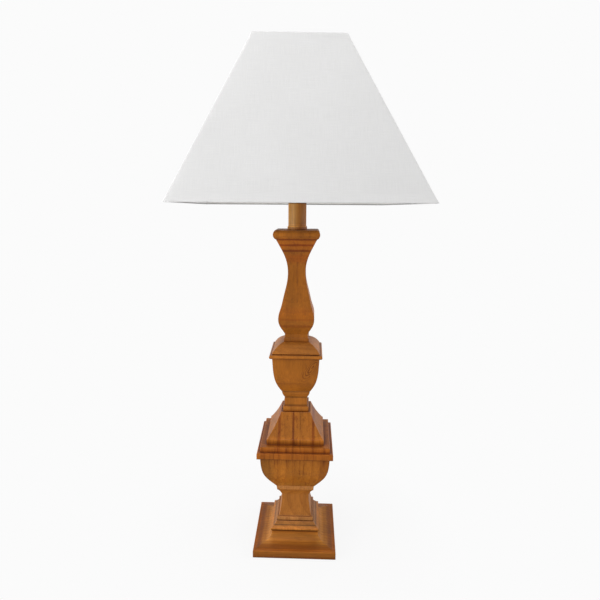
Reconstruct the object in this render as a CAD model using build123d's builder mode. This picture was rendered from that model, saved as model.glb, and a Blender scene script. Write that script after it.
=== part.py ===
from build123d import *
import os
from math import hypot, sqrt

# A column table lamp: square wooden mouldings stacked on a threaded lamp pipe, with a lamp holder,
# a wire harp and a four-sided fabric shade. Sizes are in millimetres. The lamp stands on z = 0,
# its column is on the z axis and its front faces -y. Widths are full widths across the flats.

# ---------------------------------------------------------------- fits
pipe_clearance = 0.4            # wood bored round the lamp pipe, per side
tenon_clearance = 0.2           # stub tenon in its mortise, per side
tenon_end_gap = 0.5             # glue space under a stub tenon
running_clearance = 0.06        # a shaft that turns in its bore, per side
sliding_clearance = 0.15        # a sleeve or thread that slides, per side
seat_gap = 0.3                  # rest gap between pieces of different bodies that only lie close
slip_clearance = 0.1            # washers and rings on the pipe, per side
glue_line = 0.05                # between a frame wire and what it is glued or soldered to

# ---------------------------------------------------------------- wooden column, from the floor up
felt_thickness = 1.5
felt_inset = 1.5                # the pad stays inside the base's edge

base_width = 122.0
base_edge_height = 11.3
base_edge_rounding = 1.3
base_ledge = 1.5                # flat step behind the rounded edge
base_cove_depth = 7.4
base_cove_height = 4.7
base_cove_bow = 1.1
base_slope_height = 12.1
recess_diameter = 54.0          # hollow under the base for the nut and the lead
recess_depth = 18.0
cord_hole_height = 5.7          # above the underside of the base

plinth_width = 72.0
plinth_edge_height = 3.4
plinth_rounding = 0.9
plinth_panel_width = 56.6       # across the top of the sloped panel
plinth_panel_height = 7.2
plinth_panel_bow = 0.5
quirk_height = 1.2              # the dark groove under the pedestal's foot
quirk_depth = 1.4
pedestal_foot_width = 55.0
pedestal_foot_height = 5.4
pedestal_foot_rounding = 1.3
sweep_foot_width = 50.2
sweep_height = 33.0
sweep_bow = 1.3
pedestal_neck_width = 40.7
flare_height = 12.2
flare_bow = 1.0
collar_width = 54.6
collar_height = 6.4
collar_spread = 1.3             # the collar is this much wider at its top

bowl_height = 56.9
bowl_lower_width = 73.4         # the three widths that the side of the bowl passes through
bowl_lower_rise = 12.6
bowl_middle_width = 88.2
bowl_middle_rise = 25.2
bowl_rim_width = 100.4

cover_width = 109.5
cover_edge_height = 9.0
cover_edge_rounding = 1.4
cover_band_width = 100.6        # the second, stepped-in band
cover_band_height = 7.4
cover_band_rounding = 1.3
roof_foot_width = 83.0
roof_foot_height = 8.3
roof_foot_rounding = 1.0
roof_top_width = 43.6
roof_height = 33.9
roof_bow = 1.3

stem_step_width = 37.4
stem_step_height = 7.9
stem_step_rounding = 1.2
stem_foot_width = 33.6
stem_height = 14.5
stem_bow = 0.4
bead_foot_width = 33.4
bead_width = 40.8
bead_height = 9.9
bead_bow = 0.8

cup_foot_width = 41.6
cup_height = 53.3
cup_lower_width = 57.2
cup_lower_rise = 15.6
cup_middle_width = 64.2
cup_middle_rise = 31.6
cup_rim_width = 67.4

rim_width = 75.4                # half-round edge of the upper cover
rim_height = 5.3
rim_bow = 1.4
rim_quirk_height = 1.2
rim_quirk_width = 66.4
dome_width = 68.2
dome_height = 14.3
dome_bow = 1.9

vase_foot_width = 35.6
vase_foot_height = 5.2
vase_foot_rounding = 0.8
vase_waist_width = 32.4
vase_waist_rise = 10.7          # the rises are above the underside of the vase
vase_swell_width = 45.2
vase_swell_rise = 22.5
vase_belly_width = 51.0
vase_belly_rise = 34.6
vase_shoulder_width = 44.2
vase_shoulder_rise = 50.0
vase_taper_width = 35.4
vase_taper_rise = 68.4
vase_neck_width = 25.0
vase_neck_rise = 99.6
vase_flare_width = 33.2
vase_flare_rise = 122.4
vase_top_width = 56.4
vase_height = 146.9

capital_foot_width = 57.6
capital_top_width = 58.4
capital_height = 12.5
capital_bow = 3.1

neck_diameter = 25.4
neck_height = 38.3
neck_ring_diameter = 27.6
neck_ring_height = 5.2
neck_ring_edge = 2.6            # straight lower part of the ring
neck_ring_bow = 0.4

tenon_diameter = 19.0           # stub tenons that centre each block on the next
tenon_length = 7.0
base_tenon_diameter = 30.0
base_tenon_length = 5.0

# ---------------------------------------------------------------- lamp pipe and base hardware
pipe_diameter = 9.6
pipe_bore = 7.0
base_washer_diameter = 32.0
base_washer_thickness = 1.6
lock_washer_diameter = 15.0
lock_washer_thickness = 1.2
lock_washer_slit = 1.4
nut_across_flats = 14.3
nut_thickness = 4.8
pipe_tail = 2.5                 # pipe that shows below the nut
bushing_barrel_diameter = 7.2
bushing_bore = 5.6
bushing_length = 12.0
bushing_flange_diameter = 10.0
bushing_flange_thickness = 1.3

# ---------------------------------------------------------------- lamp holder
check_ring_diameter = 22.0
check_ring_thickness = 1.5
saddle_thickness = 1.6
saddle_width = 12.7
saddle_ear_width = 4.0
saddle_ear_height = 14.0
saddle_ear_thickness = 1.5
saddle_shoulder_height = 4.0    # full-width upstand that the ferrule rests on
cap_hub_diameter = 16.4
cap_hub_height = 8.0
cap_dome_height = 10.5
cap_dome_bow = 2.2
cap_skirt_height = 7.5
cap_wall = 0.8
pipe_in_cap = 7.5               # pipe that stands inside the cap's hub
shell_diameter = 32.0
shell_wall = 0.6
shell_height = 44.0
shell_overlap = 6.0             # shell inside the cap's skirt
shell_rim_height = 2.0
shell_rim_lip = 0.7
liner_wall = 0.7
liner_set_back = 2.5            # the liner stops short of the shell's rim
mechanism_rise = 1.0            # above the foot of the shell
mechanism_clearance = 0.3
mechanism_height = 19.0
mechanism_collar_height = 2.0   # the full round at its top, which the liner holds
mechanism_flat_width = 23.0     # across the two flats that carry the terminal screws
mechanism_boss_diameter = 10.6
mechanism_boss_height = 1.4
screw_shell_bore = 26.8
screw_shell_wall = 0.4
screw_shell_height = 20.0
screw_shell_floor = 0.6
contact_width = 5.0
contact_length = 8.0
contact_thickness = 0.5
contact_rise = 2.2              # spring of the tongue above its foot
contact_fold = 1.25             # width of the upright where the tongue folds back
terminal_screw_diameter = 5.4
terminal_screw_thickness = 1.4
terminal_screw_height = 6.5     # above the foot of the mechanism
switch_shaft_diameter = 3.6
switch_shaft_height = 11.0      # above the foot of the mechanism
switch_shaft_depth = 7.0        # shaft inside the mechanism
switch_hole_diameter = 5.0      # through shell and liner
knob_diameter = 11.4
knob_length = 13.5
knob_neck_diameter = 7.0
knob_neck_length = 4.0
knob_ribs = 12
knob_rib_depth = 0.5
knob_gap = 1.0                  # between the shell and the knob
knob_socket_depth = 8.0

# ---------------------------------------------------------------- harp
harp_wire = 3.2
harp_height = 184.0             # saddle to the shoulder that the shade sits on
harp_leg_spacing = 54.4
harp_width = 100.0
harp_leg_height = 33.0
harp_spread_height = 76.0
harp_leg_radius = 34.0
harp_shoulder_radius = 43.0
boss_diameter = 11.0
boss_height = 4.8
ferrule_diameter = 7.6
ferrule_bore = 6.4
ferrule_height = 11.0
ferrule_offset = 1.1            # the wire stands outside the ferrule's centre by this
stud_shank_diameter = 5.0
stud_head_diameter = 8.0
stud_head_thickness = 1.5
stud_shoulder_diameter = 11.0
stud_shoulder_thickness = 2.4
stud_thread_diameter = 6.3
stud_thread_length = 12.0

# ---------------------------------------------------------------- shade
shade_bottom_width = 303.4
shade_top_width = 116.2
shade_height = 202.5
shade_turn = 3.8                # the shade stands a little turned on its stud, in degrees
shade_recess = 11.1             # the spider's hub sits this far below the top edge
panel_thickness = 1.0
frame_wire = 2.8
frame_corner_radius = 5.0
top_ring_set_back = 2.8
bottom_ring_set_back = 2.6
hub_diameter = 25.0
hub_thickness = 1.6
hub_bore = 7.0
spider_arms = 4
arm_flat_reach = 19.0           # flat length of an arm before it bends up
arm_bend_radius = 5.0
hem_width = 9.5
hem_thickness = 0.4
finial_diameter = 13.0
finial_height = 20.0
finial_foot_diameter = 10.0
finial_foot_edge = 2.0
finial_neck_diameter = 9.0
finial_neck_foot = 3.4          # above the finial's foot
finial_thread_depth = 13.0

# ---------------------------------------------------------------- bulb
bulb_diameter = 60.0
bulb_length = 108.0
bulb_contact_diameter = 9.0
bulb_contact_height = 1.2
bulb_insulator_height = 5.0
bulb_insulator_top_diameter = 21.0
bulb_cap_diameter = 26.0
bulb_cap_wall = 0.6
bulb_cap_height = 17.0
bulb_neck_diameter = 28.0
bulb_neck_rise = 7.0            # glass neck above the screw cap

# ---------------------------------------------------------------- levels worked out from the sizes
slab_bottom = felt_thickness
base_top = slab_bottom + base_edge_height + base_cove_height + base_slope_height
plinth_top = base_top + plinth_edge_height
panel_top = plinth_top + plinth_panel_height
foot_bottom = panel_top + quirk_height
foot_top = foot_bottom + pedestal_foot_height
pedestal_neck = foot_top + sweep_height
flare_top = pedestal_neck + flare_height
pedestal_top = flare_top + collar_height
bowl_top = pedestal_top + bowl_height
cover_edge_top = bowl_top + cover_edge_height
cover_band_top = cover_edge_top + cover_band_height
roof_foot_top = cover_band_top + roof_foot_height
roof_top = roof_foot_top + roof_height
stem_foot = roof_top + stem_step_height
bead_foot = stem_foot + stem_height
bead_top = bead_foot + bead_height
cup_top = bead_top + cup_height
rim_top = cup_top + rim_height
dome_foot = rim_top + rim_quirk_height
dome_top = dome_foot + dome_height
vase_top = dome_top + vase_height
capital_top = vase_top + capital_height
neck_top = capital_top + neck_height

recess_top = slab_bottom + recess_depth
base_washer_bottom = recess_top - base_washer_thickness
lock_washer_bottom = base_washer_bottom - lock_washer_thickness
nut_bottom = lock_washer_bottom - nut_thickness
pipe_bottom = nut_bottom - pipe_tail
cord_hole_z = slab_bottom + cord_hole_height

saddle_bottom = neck_top + check_ring_thickness
saddle_top = saddle_bottom + saddle_thickness
cap_bottom = saddle_top
cap_hub_top = cap_bottom + cap_hub_height
pipe_top = cap_bottom + pipe_in_cap
cap_dome_top = cap_hub_top + cap_dome_height
cap_rim = cap_dome_top + cap_skirt_height
shell_bottom = cap_rim - shell_overlap
shell_top = shell_bottom + shell_height
mechanism_bottom = shell_bottom + mechanism_rise
mechanism_top = mechanism_bottom + mechanism_height
contact_top = mechanism_top + mechanism_boss_height + contact_thickness + contact_rise
bulb_bottom = contact_top + seat_gap

shade_seat = saddle_top + harp_height
hub_top = shade_seat + hub_thickness
shade_top = hub_top + shade_recess
shade_bottom = shade_top - shade_height

pipe_hole = pipe_diameter + 2 * pipe_clearance

# The front and back are moulded first and the two sides second. What both cuts leave is the
# square block with its mitred corners.
square_cuts = ((Plane.XZ, Mode.ADD), (Plane.YZ, Mode.INTERSECT))


def bowed(start, end, bow):
    """Draw an arc from start up to end. It stands bow outside the straight line, or inside below 0."""
    run, rise = end[0] - start[0], end[1] - start[1]
    length = hypot(run, rise)
    middle_x = (start[0] + end[0]) / 2 + bow * rise / length
    middle_z = (start[1] + end[1]) / 2 - bow * run / length
    ThreePointArc(start, (middle_x, middle_z), end)


def rounded_edge(half_width, top, radius):
    """Draw a quarter round that takes the side of a block over on to its top."""
    bowed((half_width, top - radius), (half_width - radius, top), radius * (1 - sqrt(0.5)))


def pipe_bore_through():
    """Bore the block in progress on the column's axis for the lamp pipe."""
    Cylinder(pipe_hole / 2, 2 * neck_top, mode=Mode.SUBTRACT)


def tenon(level, diameter=tenon_diameter, length=tenon_length):
    """Add a round stub tenon below level."""
    with Locations((0, 0, level)):
        Cylinder(diameter / 2, length, align=(Align.CENTER, Align.CENTER, Align.MAX))


def mortise(level, diameter=tenon_diameter, length=tenon_length):
    """Bore the socket below level that takes the stub tenon of the block above."""
    with Locations((0, 0, level)):
        Cylinder(
            diameter / 2 + tenon_clearance,
            length + tenon_end_gap,
            align=(Align.CENTER, Align.CENTER, Align.MAX),
            mode=Mode.SUBTRACT,
        )


os.makedirs("parts", exist_ok=True)


def save(piece, name, turn=0):
    """Write a finished piece out under its name, turned about the column's axis."""
    solid = Rotation(0, 0, turn) * piece.part
    solid.label = name
    export_step(solid, f"parts/{name}.step")


# ---------------------------------------------------------------- felt pad
with BuildPart() as felt_pad:
    with BuildSketch():
        Rectangle(base_width - 2 * felt_inset, base_width - 2 * felt_inset)
    extrude(amount=felt_thickness)
save(felt_pad, "felt_pad")

# ---------------------------------------------------------------- base slab
edge_top = slab_bottom + base_edge_height
cove_foot = base_width / 2 - base_edge_rounding - base_ledge
cove_top = cove_foot - base_cove_depth
with BuildPart() as base_slab:
    for plane, mode in square_cuts:
        with BuildSketch(plane):
            with BuildLine():
                Polyline(
                    (0, slab_bottom),
                    (base_width / 2, slab_bottom),
                    (base_width / 2, edge_top - base_edge_rounding),
                )
                rounded_edge(base_width / 2, edge_top, base_edge_rounding)
                Line((base_width / 2 - base_edge_rounding, edge_top), (cove_foot, edge_top))
                bowed(
                    (cove_foot, edge_top),
                    (cove_top, edge_top + base_cove_height),
                    -base_cove_bow,
                )
                Polyline(
                    (cove_top, edge_top + base_cove_height),
                    (plinth_width / 2, base_top),
                    (0, base_top),
                )
                mirror(about=Plane.YZ)
            make_face()
        extrude(amount=base_width, both=True, mode=mode)
    pipe_bore_through()
    mortise(base_top, base_tenon_diameter, base_tenon_length)
    with Locations((0, 0, slab_bottom)):
        Cylinder(
            recess_diameter / 2,
            recess_depth,
            align=(Align.CENTER, Align.CENTER, Align.MIN),
            mode=Mode.SUBTRACT,
        )
    with BuildSketch(Plane.XZ.offset(-base_width / 2)):
        with Locations((0, cord_hole_z)):
            Circle(bushing_barrel_diameter / 2 + slip_clearance)
    extrude(amount=base_width / 2, mode=Mode.SUBTRACT)
save(base_slab, "base_slab")

# ---------------------------------------------------------------- pedestal
panel_half = plinth_panel_width / 2
foot_half = pedestal_foot_width / 2
collar_half = collar_width / 2
with BuildPart() as pedestal:
    for plane, mode in square_cuts:
        with BuildSketch(plane):
            with BuildLine():
                Polyline(
                    (0, base_top),
                    (plinth_width / 2, base_top),
                    (plinth_width / 2, plinth_top - plinth_rounding),
                )
                rounded_edge(plinth_width / 2, plinth_top, plinth_rounding)
                bowed(
                    (plinth_width / 2 - plinth_rounding, plinth_top),
                    (panel_half, panel_top),
                    -plinth_panel_bow,
                )
                Polyline(
                    (panel_half, panel_top),
                    (panel_half - quirk_depth, panel_top),
                    (panel_half - quirk_depth, foot_bottom),
                    (foot_half, foot_bottom),
                    (foot_half, foot_top - pedestal_foot_rounding),
                )
                rounded_edge(foot_half, foot_top, pedestal_foot_rounding)
                Line((foot_half - pedestal_foot_rounding, foot_top), (sweep_foot_width / 2, foot_top))
                bowed(
                    (sweep_foot_width / 2, foot_top),
                    (pedestal_neck_width / 2, pedestal_neck),
                    -sweep_bow,
                )
                bowed(
                    (pedestal_neck_width / 2, pedestal_neck),
                    (collar_half, flare_top),
                    -flare_bow,
                )
                Polyline(
                    (collar_half, flare_top),
                    (collar_half + collar_spread / 2, pedestal_top),
                    (0, pedestal_top),
                )
                mirror(about=Plane.YZ)
            make_face()
        extrude(amount=plinth_width, both=True, mode=mode)
    tenon(base_top, base_tenon_diameter, base_tenon_length)
    mortise(pedestal_top)
    pipe_bore_through()
save(pedestal, "pedestal")

# ---------------------------------------------------------------- lower bowl
with BuildPart() as lower_bowl:
    for plane, mode in square_cuts:
        with BuildSketch(plane):
            with BuildLine():
                Line((0, pedestal_top), (collar_half + collar_spread / 2, pedestal_top))
                Spline(
                    (collar_half + collar_spread / 2, pedestal_top),
                    (bowl_lower_width / 2, pedestal_top + bowl_lower_rise),
                    (bowl_middle_width / 2, pedestal_top + bowl_middle_rise),
                    (bowl_rim_width / 2, bowl_top),
                    tangents=((0.7, 1), (0.05, 1)),
                )
                Line((bowl_rim_width / 2, bowl_top), (0, bowl_top))
                mirror(about=Plane.YZ)
            make_face()
        extrude(amount=bowl_rim_width, both=True, mode=mode)
    tenon(pedestal_top)
    mortise(bowl_top)
    pipe_bore_through()
save(lower_bowl, "lower_bowl")

# ---------------------------------------------------------------- lower cover
cover_half = cover_width / 2
band_half = cover_band_width / 2
roof_foot_half = roof_foot_width / 2
with BuildPart() as lower_cover:
    for plane, mode in square_cuts:
        with BuildSketch(plane):
            with BuildLine():
                Polyline(
                    (0, bowl_top),
                    (cover_half, bowl_top),
                    (cover_half, cover_edge_top - cover_edge_rounding),
                )
                rounded_edge(cover_half, cover_edge_top, cover_edge_rounding)
                Polyline(
                    (cover_half - cover_edge_rounding, cover_edge_top),
                    (band_half, cover_edge_top),
                    (band_half, cover_band_top - cover_band_rounding),
                )
                rounded_edge(band_half, cover_band_top, cover_band_rounding)
                Polyline(
                    (band_half - cover_band_rounding, cover_band_top),
                    (roof_foot_half, cover_band_top),
                    (roof_foot_half, roof_foot_top - roof_foot_rounding),
                )
                rounded_edge(roof_foot_half, roof_foot_top, roof_foot_rounding)
                bowed(
                    (roof_foot_half - roof_foot_rounding, roof_foot_top),
                    (roof_top_width / 2, roof_top),
                    -roof_bow,
                )
                Line((roof_top_width / 2, roof_top), (0, roof_top))
                mirror(about=Plane.YZ)
            make_face()
        extrude(amount=cover_width, both=True, mode=mode)
    tenon(bowl_top)
    mortise(roof_top)
    pipe_bore_through()
save(lower_cover, "lower_cover")

# ---------------------------------------------------------------- cup stem
with BuildPart() as cup_stem:
    for plane, mode in square_cuts:
        with BuildSketch(plane):
            with BuildLine():
                Polyline(
                    (0, roof_top),
                    (stem_step_width / 2, roof_top),
                    (stem_step_width / 2, stem_foot - stem_step_rounding),
                )
                rounded_edge(stem_step_width / 2, stem_foot, stem_step_rounding)
                Line(
                    (stem_step_width / 2 - stem_step_rounding, stem_foot),
                    (stem_foot_width / 2, stem_foot),
                )
                bowed(
                    (stem_foot_width / 2, stem_foot),
                    (bead_foot_width / 2, bead_foot),
                    -stem_bow,
                )
                bowed(
                    (bead_foot_width / 2, bead_foot),
                    (bead_width / 2, bead_top),
                    bead_bow,
                )
                Line((bead_width / 2, bead_top), (0, bead_top))
                mirror(about=Plane.YZ)
            make_face()
        extrude(amount=stem_step_width, both=True, mode=mode)
    tenon(roof_top)
    mortise(bead_top)
    pipe_bore_through()
save(cup_stem, "cup_stem")

# ---------------------------------------------------------------- upper cup
with BuildPart() as upper_cup:
    for plane, mode in square_cuts:
        with BuildSketch(plane):
            with BuildLine():
                Line((0, bead_top), (cup_foot_width / 2, bead_top))
                Spline(
                    (cup_foot_width / 2, bead_top),
                    (cup_lower_width / 2, bead_top + cup_lower_rise),
                    (cup_middle_width / 2, bead_top + cup_middle_rise),
                    (cup_rim_width / 2, cup_top),
                    tangents=((0.6, 1), (0.08, 1)),
                )
                Line((cup_rim_width / 2, cup_top), (0, cup_top))
                mirror(about=Plane.YZ)
            make_face()
        extrude(amount=cup_rim_width, both=True, mode=mode)
    tenon(bead_top)
    mortise(cup_top)
    pipe_bore_through()
save(upper_cup, "upper_cup")

# ---------------------------------------------------------------- upper cover
rim_half = rim_width / 2
with BuildPart() as upper_cover:
    for plane, mode in square_cuts:
        with BuildSketch(plane):
            with BuildLine():
                Line((0, cup_top), (rim_half - rim_bow, cup_top))
                bowed((rim_half - rim_bow, cup_top), (rim_half - rim_bow, rim_top), rim_bow)
                Polyline(
                    (rim_half - rim_bow, rim_top),
                    (rim_quirk_width / 2, rim_top),
                    (rim_quirk_width / 2, dome_foot),
                    (dome_width / 2, dome_foot),
                )
                bowed((dome_width / 2, dome_foot), (vase_foot_width / 2, dome_top), dome_bow)
                Line((vase_foot_width / 2, dome_top), (0, dome_top))
                mirror(about=Plane.YZ)
            make_face()
        extrude(amount=rim_width, both=True, mode=mode)
    tenon(cup_top)
    mortise(dome_top)
    pipe_bore_through()
save(upper_cover, "upper_cover")

# ---------------------------------------------------------------- vase baluster
vase_foot_half = vase_foot_width / 2
vase_foot_top = dome_top + vase_foot_height
with BuildPart() as vase_baluster:
    for plane, mode in square_cuts:
        with BuildSketch(plane):
            with BuildLine():
                Polyline(
                    (0, dome_top),
                    (vase_foot_half, dome_top),
                    (vase_foot_half, vase_foot_top - vase_foot_rounding),
                )
                rounded_edge(vase_foot_half, vase_foot_top, vase_foot_rounding)
                waist = (vase_waist_width / 2, dome_top + vase_waist_rise)
                Line((vase_foot_half - vase_foot_rounding, vase_foot_top), waist)
                belly = (vase_belly_width / 2, dome_top + vase_belly_rise)
                Spline(
                    waist,
                    (vase_swell_width / 2, dome_top + vase_swell_rise),
                    belly,
                    tangents=((0.45, 1), (0, 1)),
                )
                neck = (vase_neck_width / 2, dome_top + vase_neck_rise)
                Spline(
                    belly,
                    (vase_shoulder_width / 2, dome_top + vase_shoulder_rise),
                    (vase_taper_width / 2, dome_top + vase_taper_rise),
                    neck,
                    tangents=((0, 1), (0, 1)),
                )
                Spline(
                    neck,
                    (vase_flare_width / 2, dome_top + vase_flare_rise),
                    (vase_top_width / 2, vase_top),
                    tangents=((0, 1), (0.48, 1)),
                )
                Line((vase_top_width / 2, vase_top), (0, vase_top))
                mirror(about=Plane.YZ)
            make_face()
        extrude(amount=vase_top_width, both=True, mode=mode)
    tenon(dome_top)
    mortise(vase_top)
    pipe_bore_through()
save(vase_baluster, "vase_baluster")

# ---------------------------------------------------------------- capital
with BuildPart() as capital:
    for plane, mode in square_cuts:
        with BuildSketch(plane):
            with BuildLine():
                Line((0, vase_top), (capital_foot_width / 2, vase_top))
                bowed(
                    (capital_foot_width / 2, vase_top),
                    (capital_top_width / 2, capital_top),
                    capital_bow,
                )
                Line((capital_top_width / 2, capital_top), (0, capital_top))
                mirror(about=Plane.YZ)
            make_face()
        extrude(amount=capital_top_width, both=True, mode=mode)
    tenon(vase_top)
    mortise(capital_top)
    pipe_bore_through()
save(capital, "capital")

# ---------------------------------------------------------------- neck sleeve, turned
neck_ring_top = capital_top + neck_ring_height
with BuildPart() as neck_sleeve:
    with BuildSketch(Plane.XZ):
        with BuildLine():
            Polyline(
                (neck_diameter / 2, neck_ring_top),
                (neck_diameter / 2, neck_top),
                (0, neck_top),
                (0, capital_top),
                (neck_ring_diameter / 2, capital_top),
                (neck_ring_diameter / 2, capital_top + neck_ring_edge),
            )
            bowed(
                (neck_ring_diameter / 2, capital_top + neck_ring_edge),
                (neck_diameter / 2, neck_ring_top),
                neck_ring_bow,
            )
        make_face()
    revolve(axis=Axis.Z)
    tenon(capital_top)
    pipe_bore_through()
save(neck_sleeve, "neck_sleeve")

# ---------------------------------------------------------------- lamp pipe
with BuildPart() as lamp_pipe:
    with BuildSketch(Plane.XY.offset(pipe_bottom)):
        Circle(pipe_diameter / 2)
        Circle(pipe_bore / 2, mode=Mode.SUBTRACT)
    extrude(amount=pipe_top - pipe_bottom)
save(lamp_pipe, "lamp_pipe")

# ---------------------------------------------------------------- base hardware
slip_hole = pipe_diameter / 2 + slip_clearance
with BuildPart() as base_washer:
    with BuildSketch(Plane.XY.offset(base_washer_bottom)):
        Circle(base_washer_diameter / 2)
        Circle(slip_hole, mode=Mode.SUBTRACT)
    extrude(amount=base_washer_thickness)
save(base_washer, "base_washer")

with BuildPart() as lock_washer:
    with BuildSketch(Plane.XY.offset(lock_washer_bottom)):
        Circle(lock_washer_diameter / 2)
        Circle(slip_hole, mode=Mode.SUBTRACT)
        with Locations((lock_washer_diameter / 2, 0)):
            Rectangle(lock_washer_diameter, lock_washer_slit, mode=Mode.SUBTRACT)
    extrude(amount=lock_washer_thickness)
save(lock_washer, "lock_washer")

with BuildPart() as base_nut:
    with BuildSketch(Plane.XY.offset(nut_bottom)):
        RegularPolygon(nut_across_flats / 2, 6, major_radius=False)
        Circle(pipe_diameter / 2, mode=Mode.SUBTRACT)
    extrude(amount=nut_thickness)
save(base_nut, "base_nut")

with BuildPart() as cord_bushing:
    back_face = Plane.XZ.offset(-base_width / 2)
    with BuildSketch(back_face):
        with Locations((0, cord_hole_z)):
            Circle(bushing_flange_diameter / 2)
    extrude(amount=-bushing_flange_thickness)
    with BuildSketch(back_face):
        with Locations((0, cord_hole_z)):
            Circle(bushing_barrel_diameter / 2)
    extrude(amount=bushing_length)
    with BuildSketch(back_face.offset(-bushing_flange_thickness)):
        with Locations((0, cord_hole_z)):
            Circle(bushing_bore / 2)
    extrude(amount=bushing_length + bushing_flange_thickness, mode=Mode.SUBTRACT)
save(cord_bushing, "cord_bushing")

# ---------------------------------------------------------------- check ring and harp saddle
with BuildPart() as check_ring:
    with BuildSketch(Plane.XY.offset(neck_top)):
        Circle(check_ring_diameter / 2)
        Circle(slip_hole, mode=Mode.SUBTRACT)
    extrude(amount=check_ring_thickness)
save(check_ring, "check_ring")

leg_half = harp_leg_spacing / 2
ferrule_x = leg_half - ferrule_offset
ear_outer = leg_half - harp_wire / 2 - sliding_clearance
ear_inner = ear_outer - saddle_ear_thickness
shoulder_top = saddle_top + saddle_shoulder_height
with BuildPart() as harp_saddle:
    with BuildSketch(Plane.XY.offset(saddle_bottom)):
        Rectangle(2 * leg_half + harp_wire, saddle_width)
        Circle(slip_hole, mode=Mode.SUBTRACT)
    extrude(amount=saddle_thickness)
    with BuildSketch(Plane.XY.offset(saddle_top)):
        with Locations((ear_inner + saddle_ear_thickness / 2, 0)):
            Rectangle(saddle_ear_thickness, saddle_width)
        mirror(about=Plane.YZ)
    extrude(amount=saddle_shoulder_height)
    with BuildSketch(Plane.XY.offset(shoulder_top)):
        with Locations((ear_inner + saddle_ear_thickness / 2, 0)):
            Rectangle(saddle_ear_thickness, saddle_ear_width)
        mirror(about=Plane.YZ)
    extrude(amount=saddle_ear_height)
save(harp_saddle, "harp_saddle")

# ---------------------------------------------------------------- lamp holder
shell_radius = shell_diameter / 2
cap_radius = shell_radius + cap_wall
cap_hub = cap_hub_diameter / 2
cap_hub_roof = cap_hub_top - cap_wall
with BuildPart() as socket_cap:
    with BuildSketch(Plane.XZ):
        with BuildLine():
            Polyline(
                (pipe_diameter / 2, cap_hub_roof),
                (pipe_diameter / 2, cap_bottom),
                (cap_hub, cap_bottom),
                (cap_hub, cap_hub_top),
            )
            bowed((cap_hub, cap_hub_top), (cap_radius, cap_dome_top), cap_dome_bow)
            Polyline(
                (cap_radius, cap_dome_top),
                (cap_radius, cap_rim),
                (shell_radius, cap_rim),
                (shell_radius, cap_dome_top),
            )
            bowed(
                (cap_hub - cap_wall, cap_hub_top + cap_wall / 2),
                (shell_radius, cap_dome_top),
                cap_dome_bow,
            )
            Polyline(
                (cap_hub - cap_wall, cap_hub_top + cap_wall / 2),
                (cap_hub - cap_wall, cap_hub_roof),
                (pipe_diameter / 2, cap_hub_roof),
            )
        make_face()
    revolve(axis=Axis.Z)
save(socket_cap, "socket_cap")

switch_z = mechanism_bottom + switch_shaft_height
with BuildPart() as socket_shell:
    with BuildSketch(Plane.XY.offset(shell_bottom)):
        Circle(shell_radius)
        Circle(shell_radius - shell_wall, mode=Mode.SUBTRACT)
    extrude(amount=shell_height)
    with BuildSketch(Plane.XY.offset(shell_top - shell_rim_height)):
        Circle(shell_radius + shell_rim_lip)
        Circle(shell_radius - shell_wall, mode=Mode.SUBTRACT)
    extrude(amount=shell_rim_height)
    with BuildSketch(Plane.XZ):
        with Locations((0, switch_z)):
            Circle(switch_hole_diameter / 2)
    extrude(amount=shell_diameter, mode=Mode.SUBTRACT)
save(socket_shell, "socket_shell")

liner_radius = shell_radius - shell_wall
with BuildPart() as socket_liner:
    with BuildSketch(Plane.XY.offset(shell_bottom)):
        Circle(liner_radius)
        Circle(liner_radius - liner_wall, mode=Mode.SUBTRACT)
    extrude(amount=shell_height - liner_set_back)
    with BuildSketch(Plane.XZ):
        with Locations((0, switch_z)):
            Circle(switch_hole_diameter / 2)
    extrude(amount=shell_diameter, mode=Mode.SUBTRACT)
save(socket_liner, "socket_liner")

mechanism_radius = liner_radius - liner_wall - mechanism_clearance
collar_bottom = mechanism_top - mechanism_collar_height
with BuildPart() as socket_mechanism:
    with BuildSketch(Plane.XY.offset(mechanism_bottom)):
        Circle(mechanism_radius)
        Rectangle(mechanism_flat_width, shell_diameter, mode=Mode.INTERSECT)
    extrude(amount=mechanism_height - mechanism_collar_height)
    with BuildSketch(Plane.XY.offset(collar_bottom)):
        Circle(liner_radius - liner_wall)
    extrude(amount=mechanism_collar_height)
    with BuildSketch(Plane.XY.offset(mechanism_top)):
        Circle(mechanism_boss_diameter / 2)
    extrude(amount=mechanism_boss_height)
    with BuildSketch(Plane.XZ.offset(mechanism_radius - switch_shaft_depth - seat_gap)):
        with Locations((0, switch_z)):
            Circle(switch_shaft_diameter / 2 + running_clearance)
    extrude(amount=shell_diameter, mode=Mode.SUBTRACT)
save(socket_mechanism, "socket_mechanism")

screw_shell_radius = screw_shell_bore / 2 + screw_shell_wall
with BuildPart() as screw_shell:
    with BuildSketch(Plane.XY.offset(mechanism_top)):
        Circle(screw_shell_radius)
        Circle(mechanism_boss_diameter / 2 + slip_clearance, mode=Mode.SUBTRACT)
    extrude(amount=screw_shell_floor)
    with BuildSketch(Plane.XY.offset(mechanism_top + screw_shell_floor)):
        Circle(screw_shell_radius)
        Circle(screw_shell_bore / 2, mode=Mode.SUBTRACT)
    extrude(amount=screw_shell_height - screw_shell_floor)
save(screw_shell, "screw_shell")

contact_foot = mechanism_top + mechanism_boss_height
contact_half = contact_length / 2
with BuildPart() as centre_contact:
    with BuildSketch(Plane.XZ):
        with BuildLine():
            Polyline(
                (-contact_half, contact_foot),
                (contact_half, contact_foot),
                (contact_half, contact_foot + contact_thickness),
                (-contact_half + contact_fold, contact_foot + contact_thickness),
                (-contact_half + contact_fold, contact_top - 2 * contact_thickness),
                (contact_half / 2, contact_top - contact_thickness),
                (contact_half / 2, contact_top),
                (-contact_half, contact_top - contact_thickness),
                close=True,
            )
        make_face()
    extrude(amount=contact_width / 2, both=True)
save(centre_contact, "centre_contact")

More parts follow.
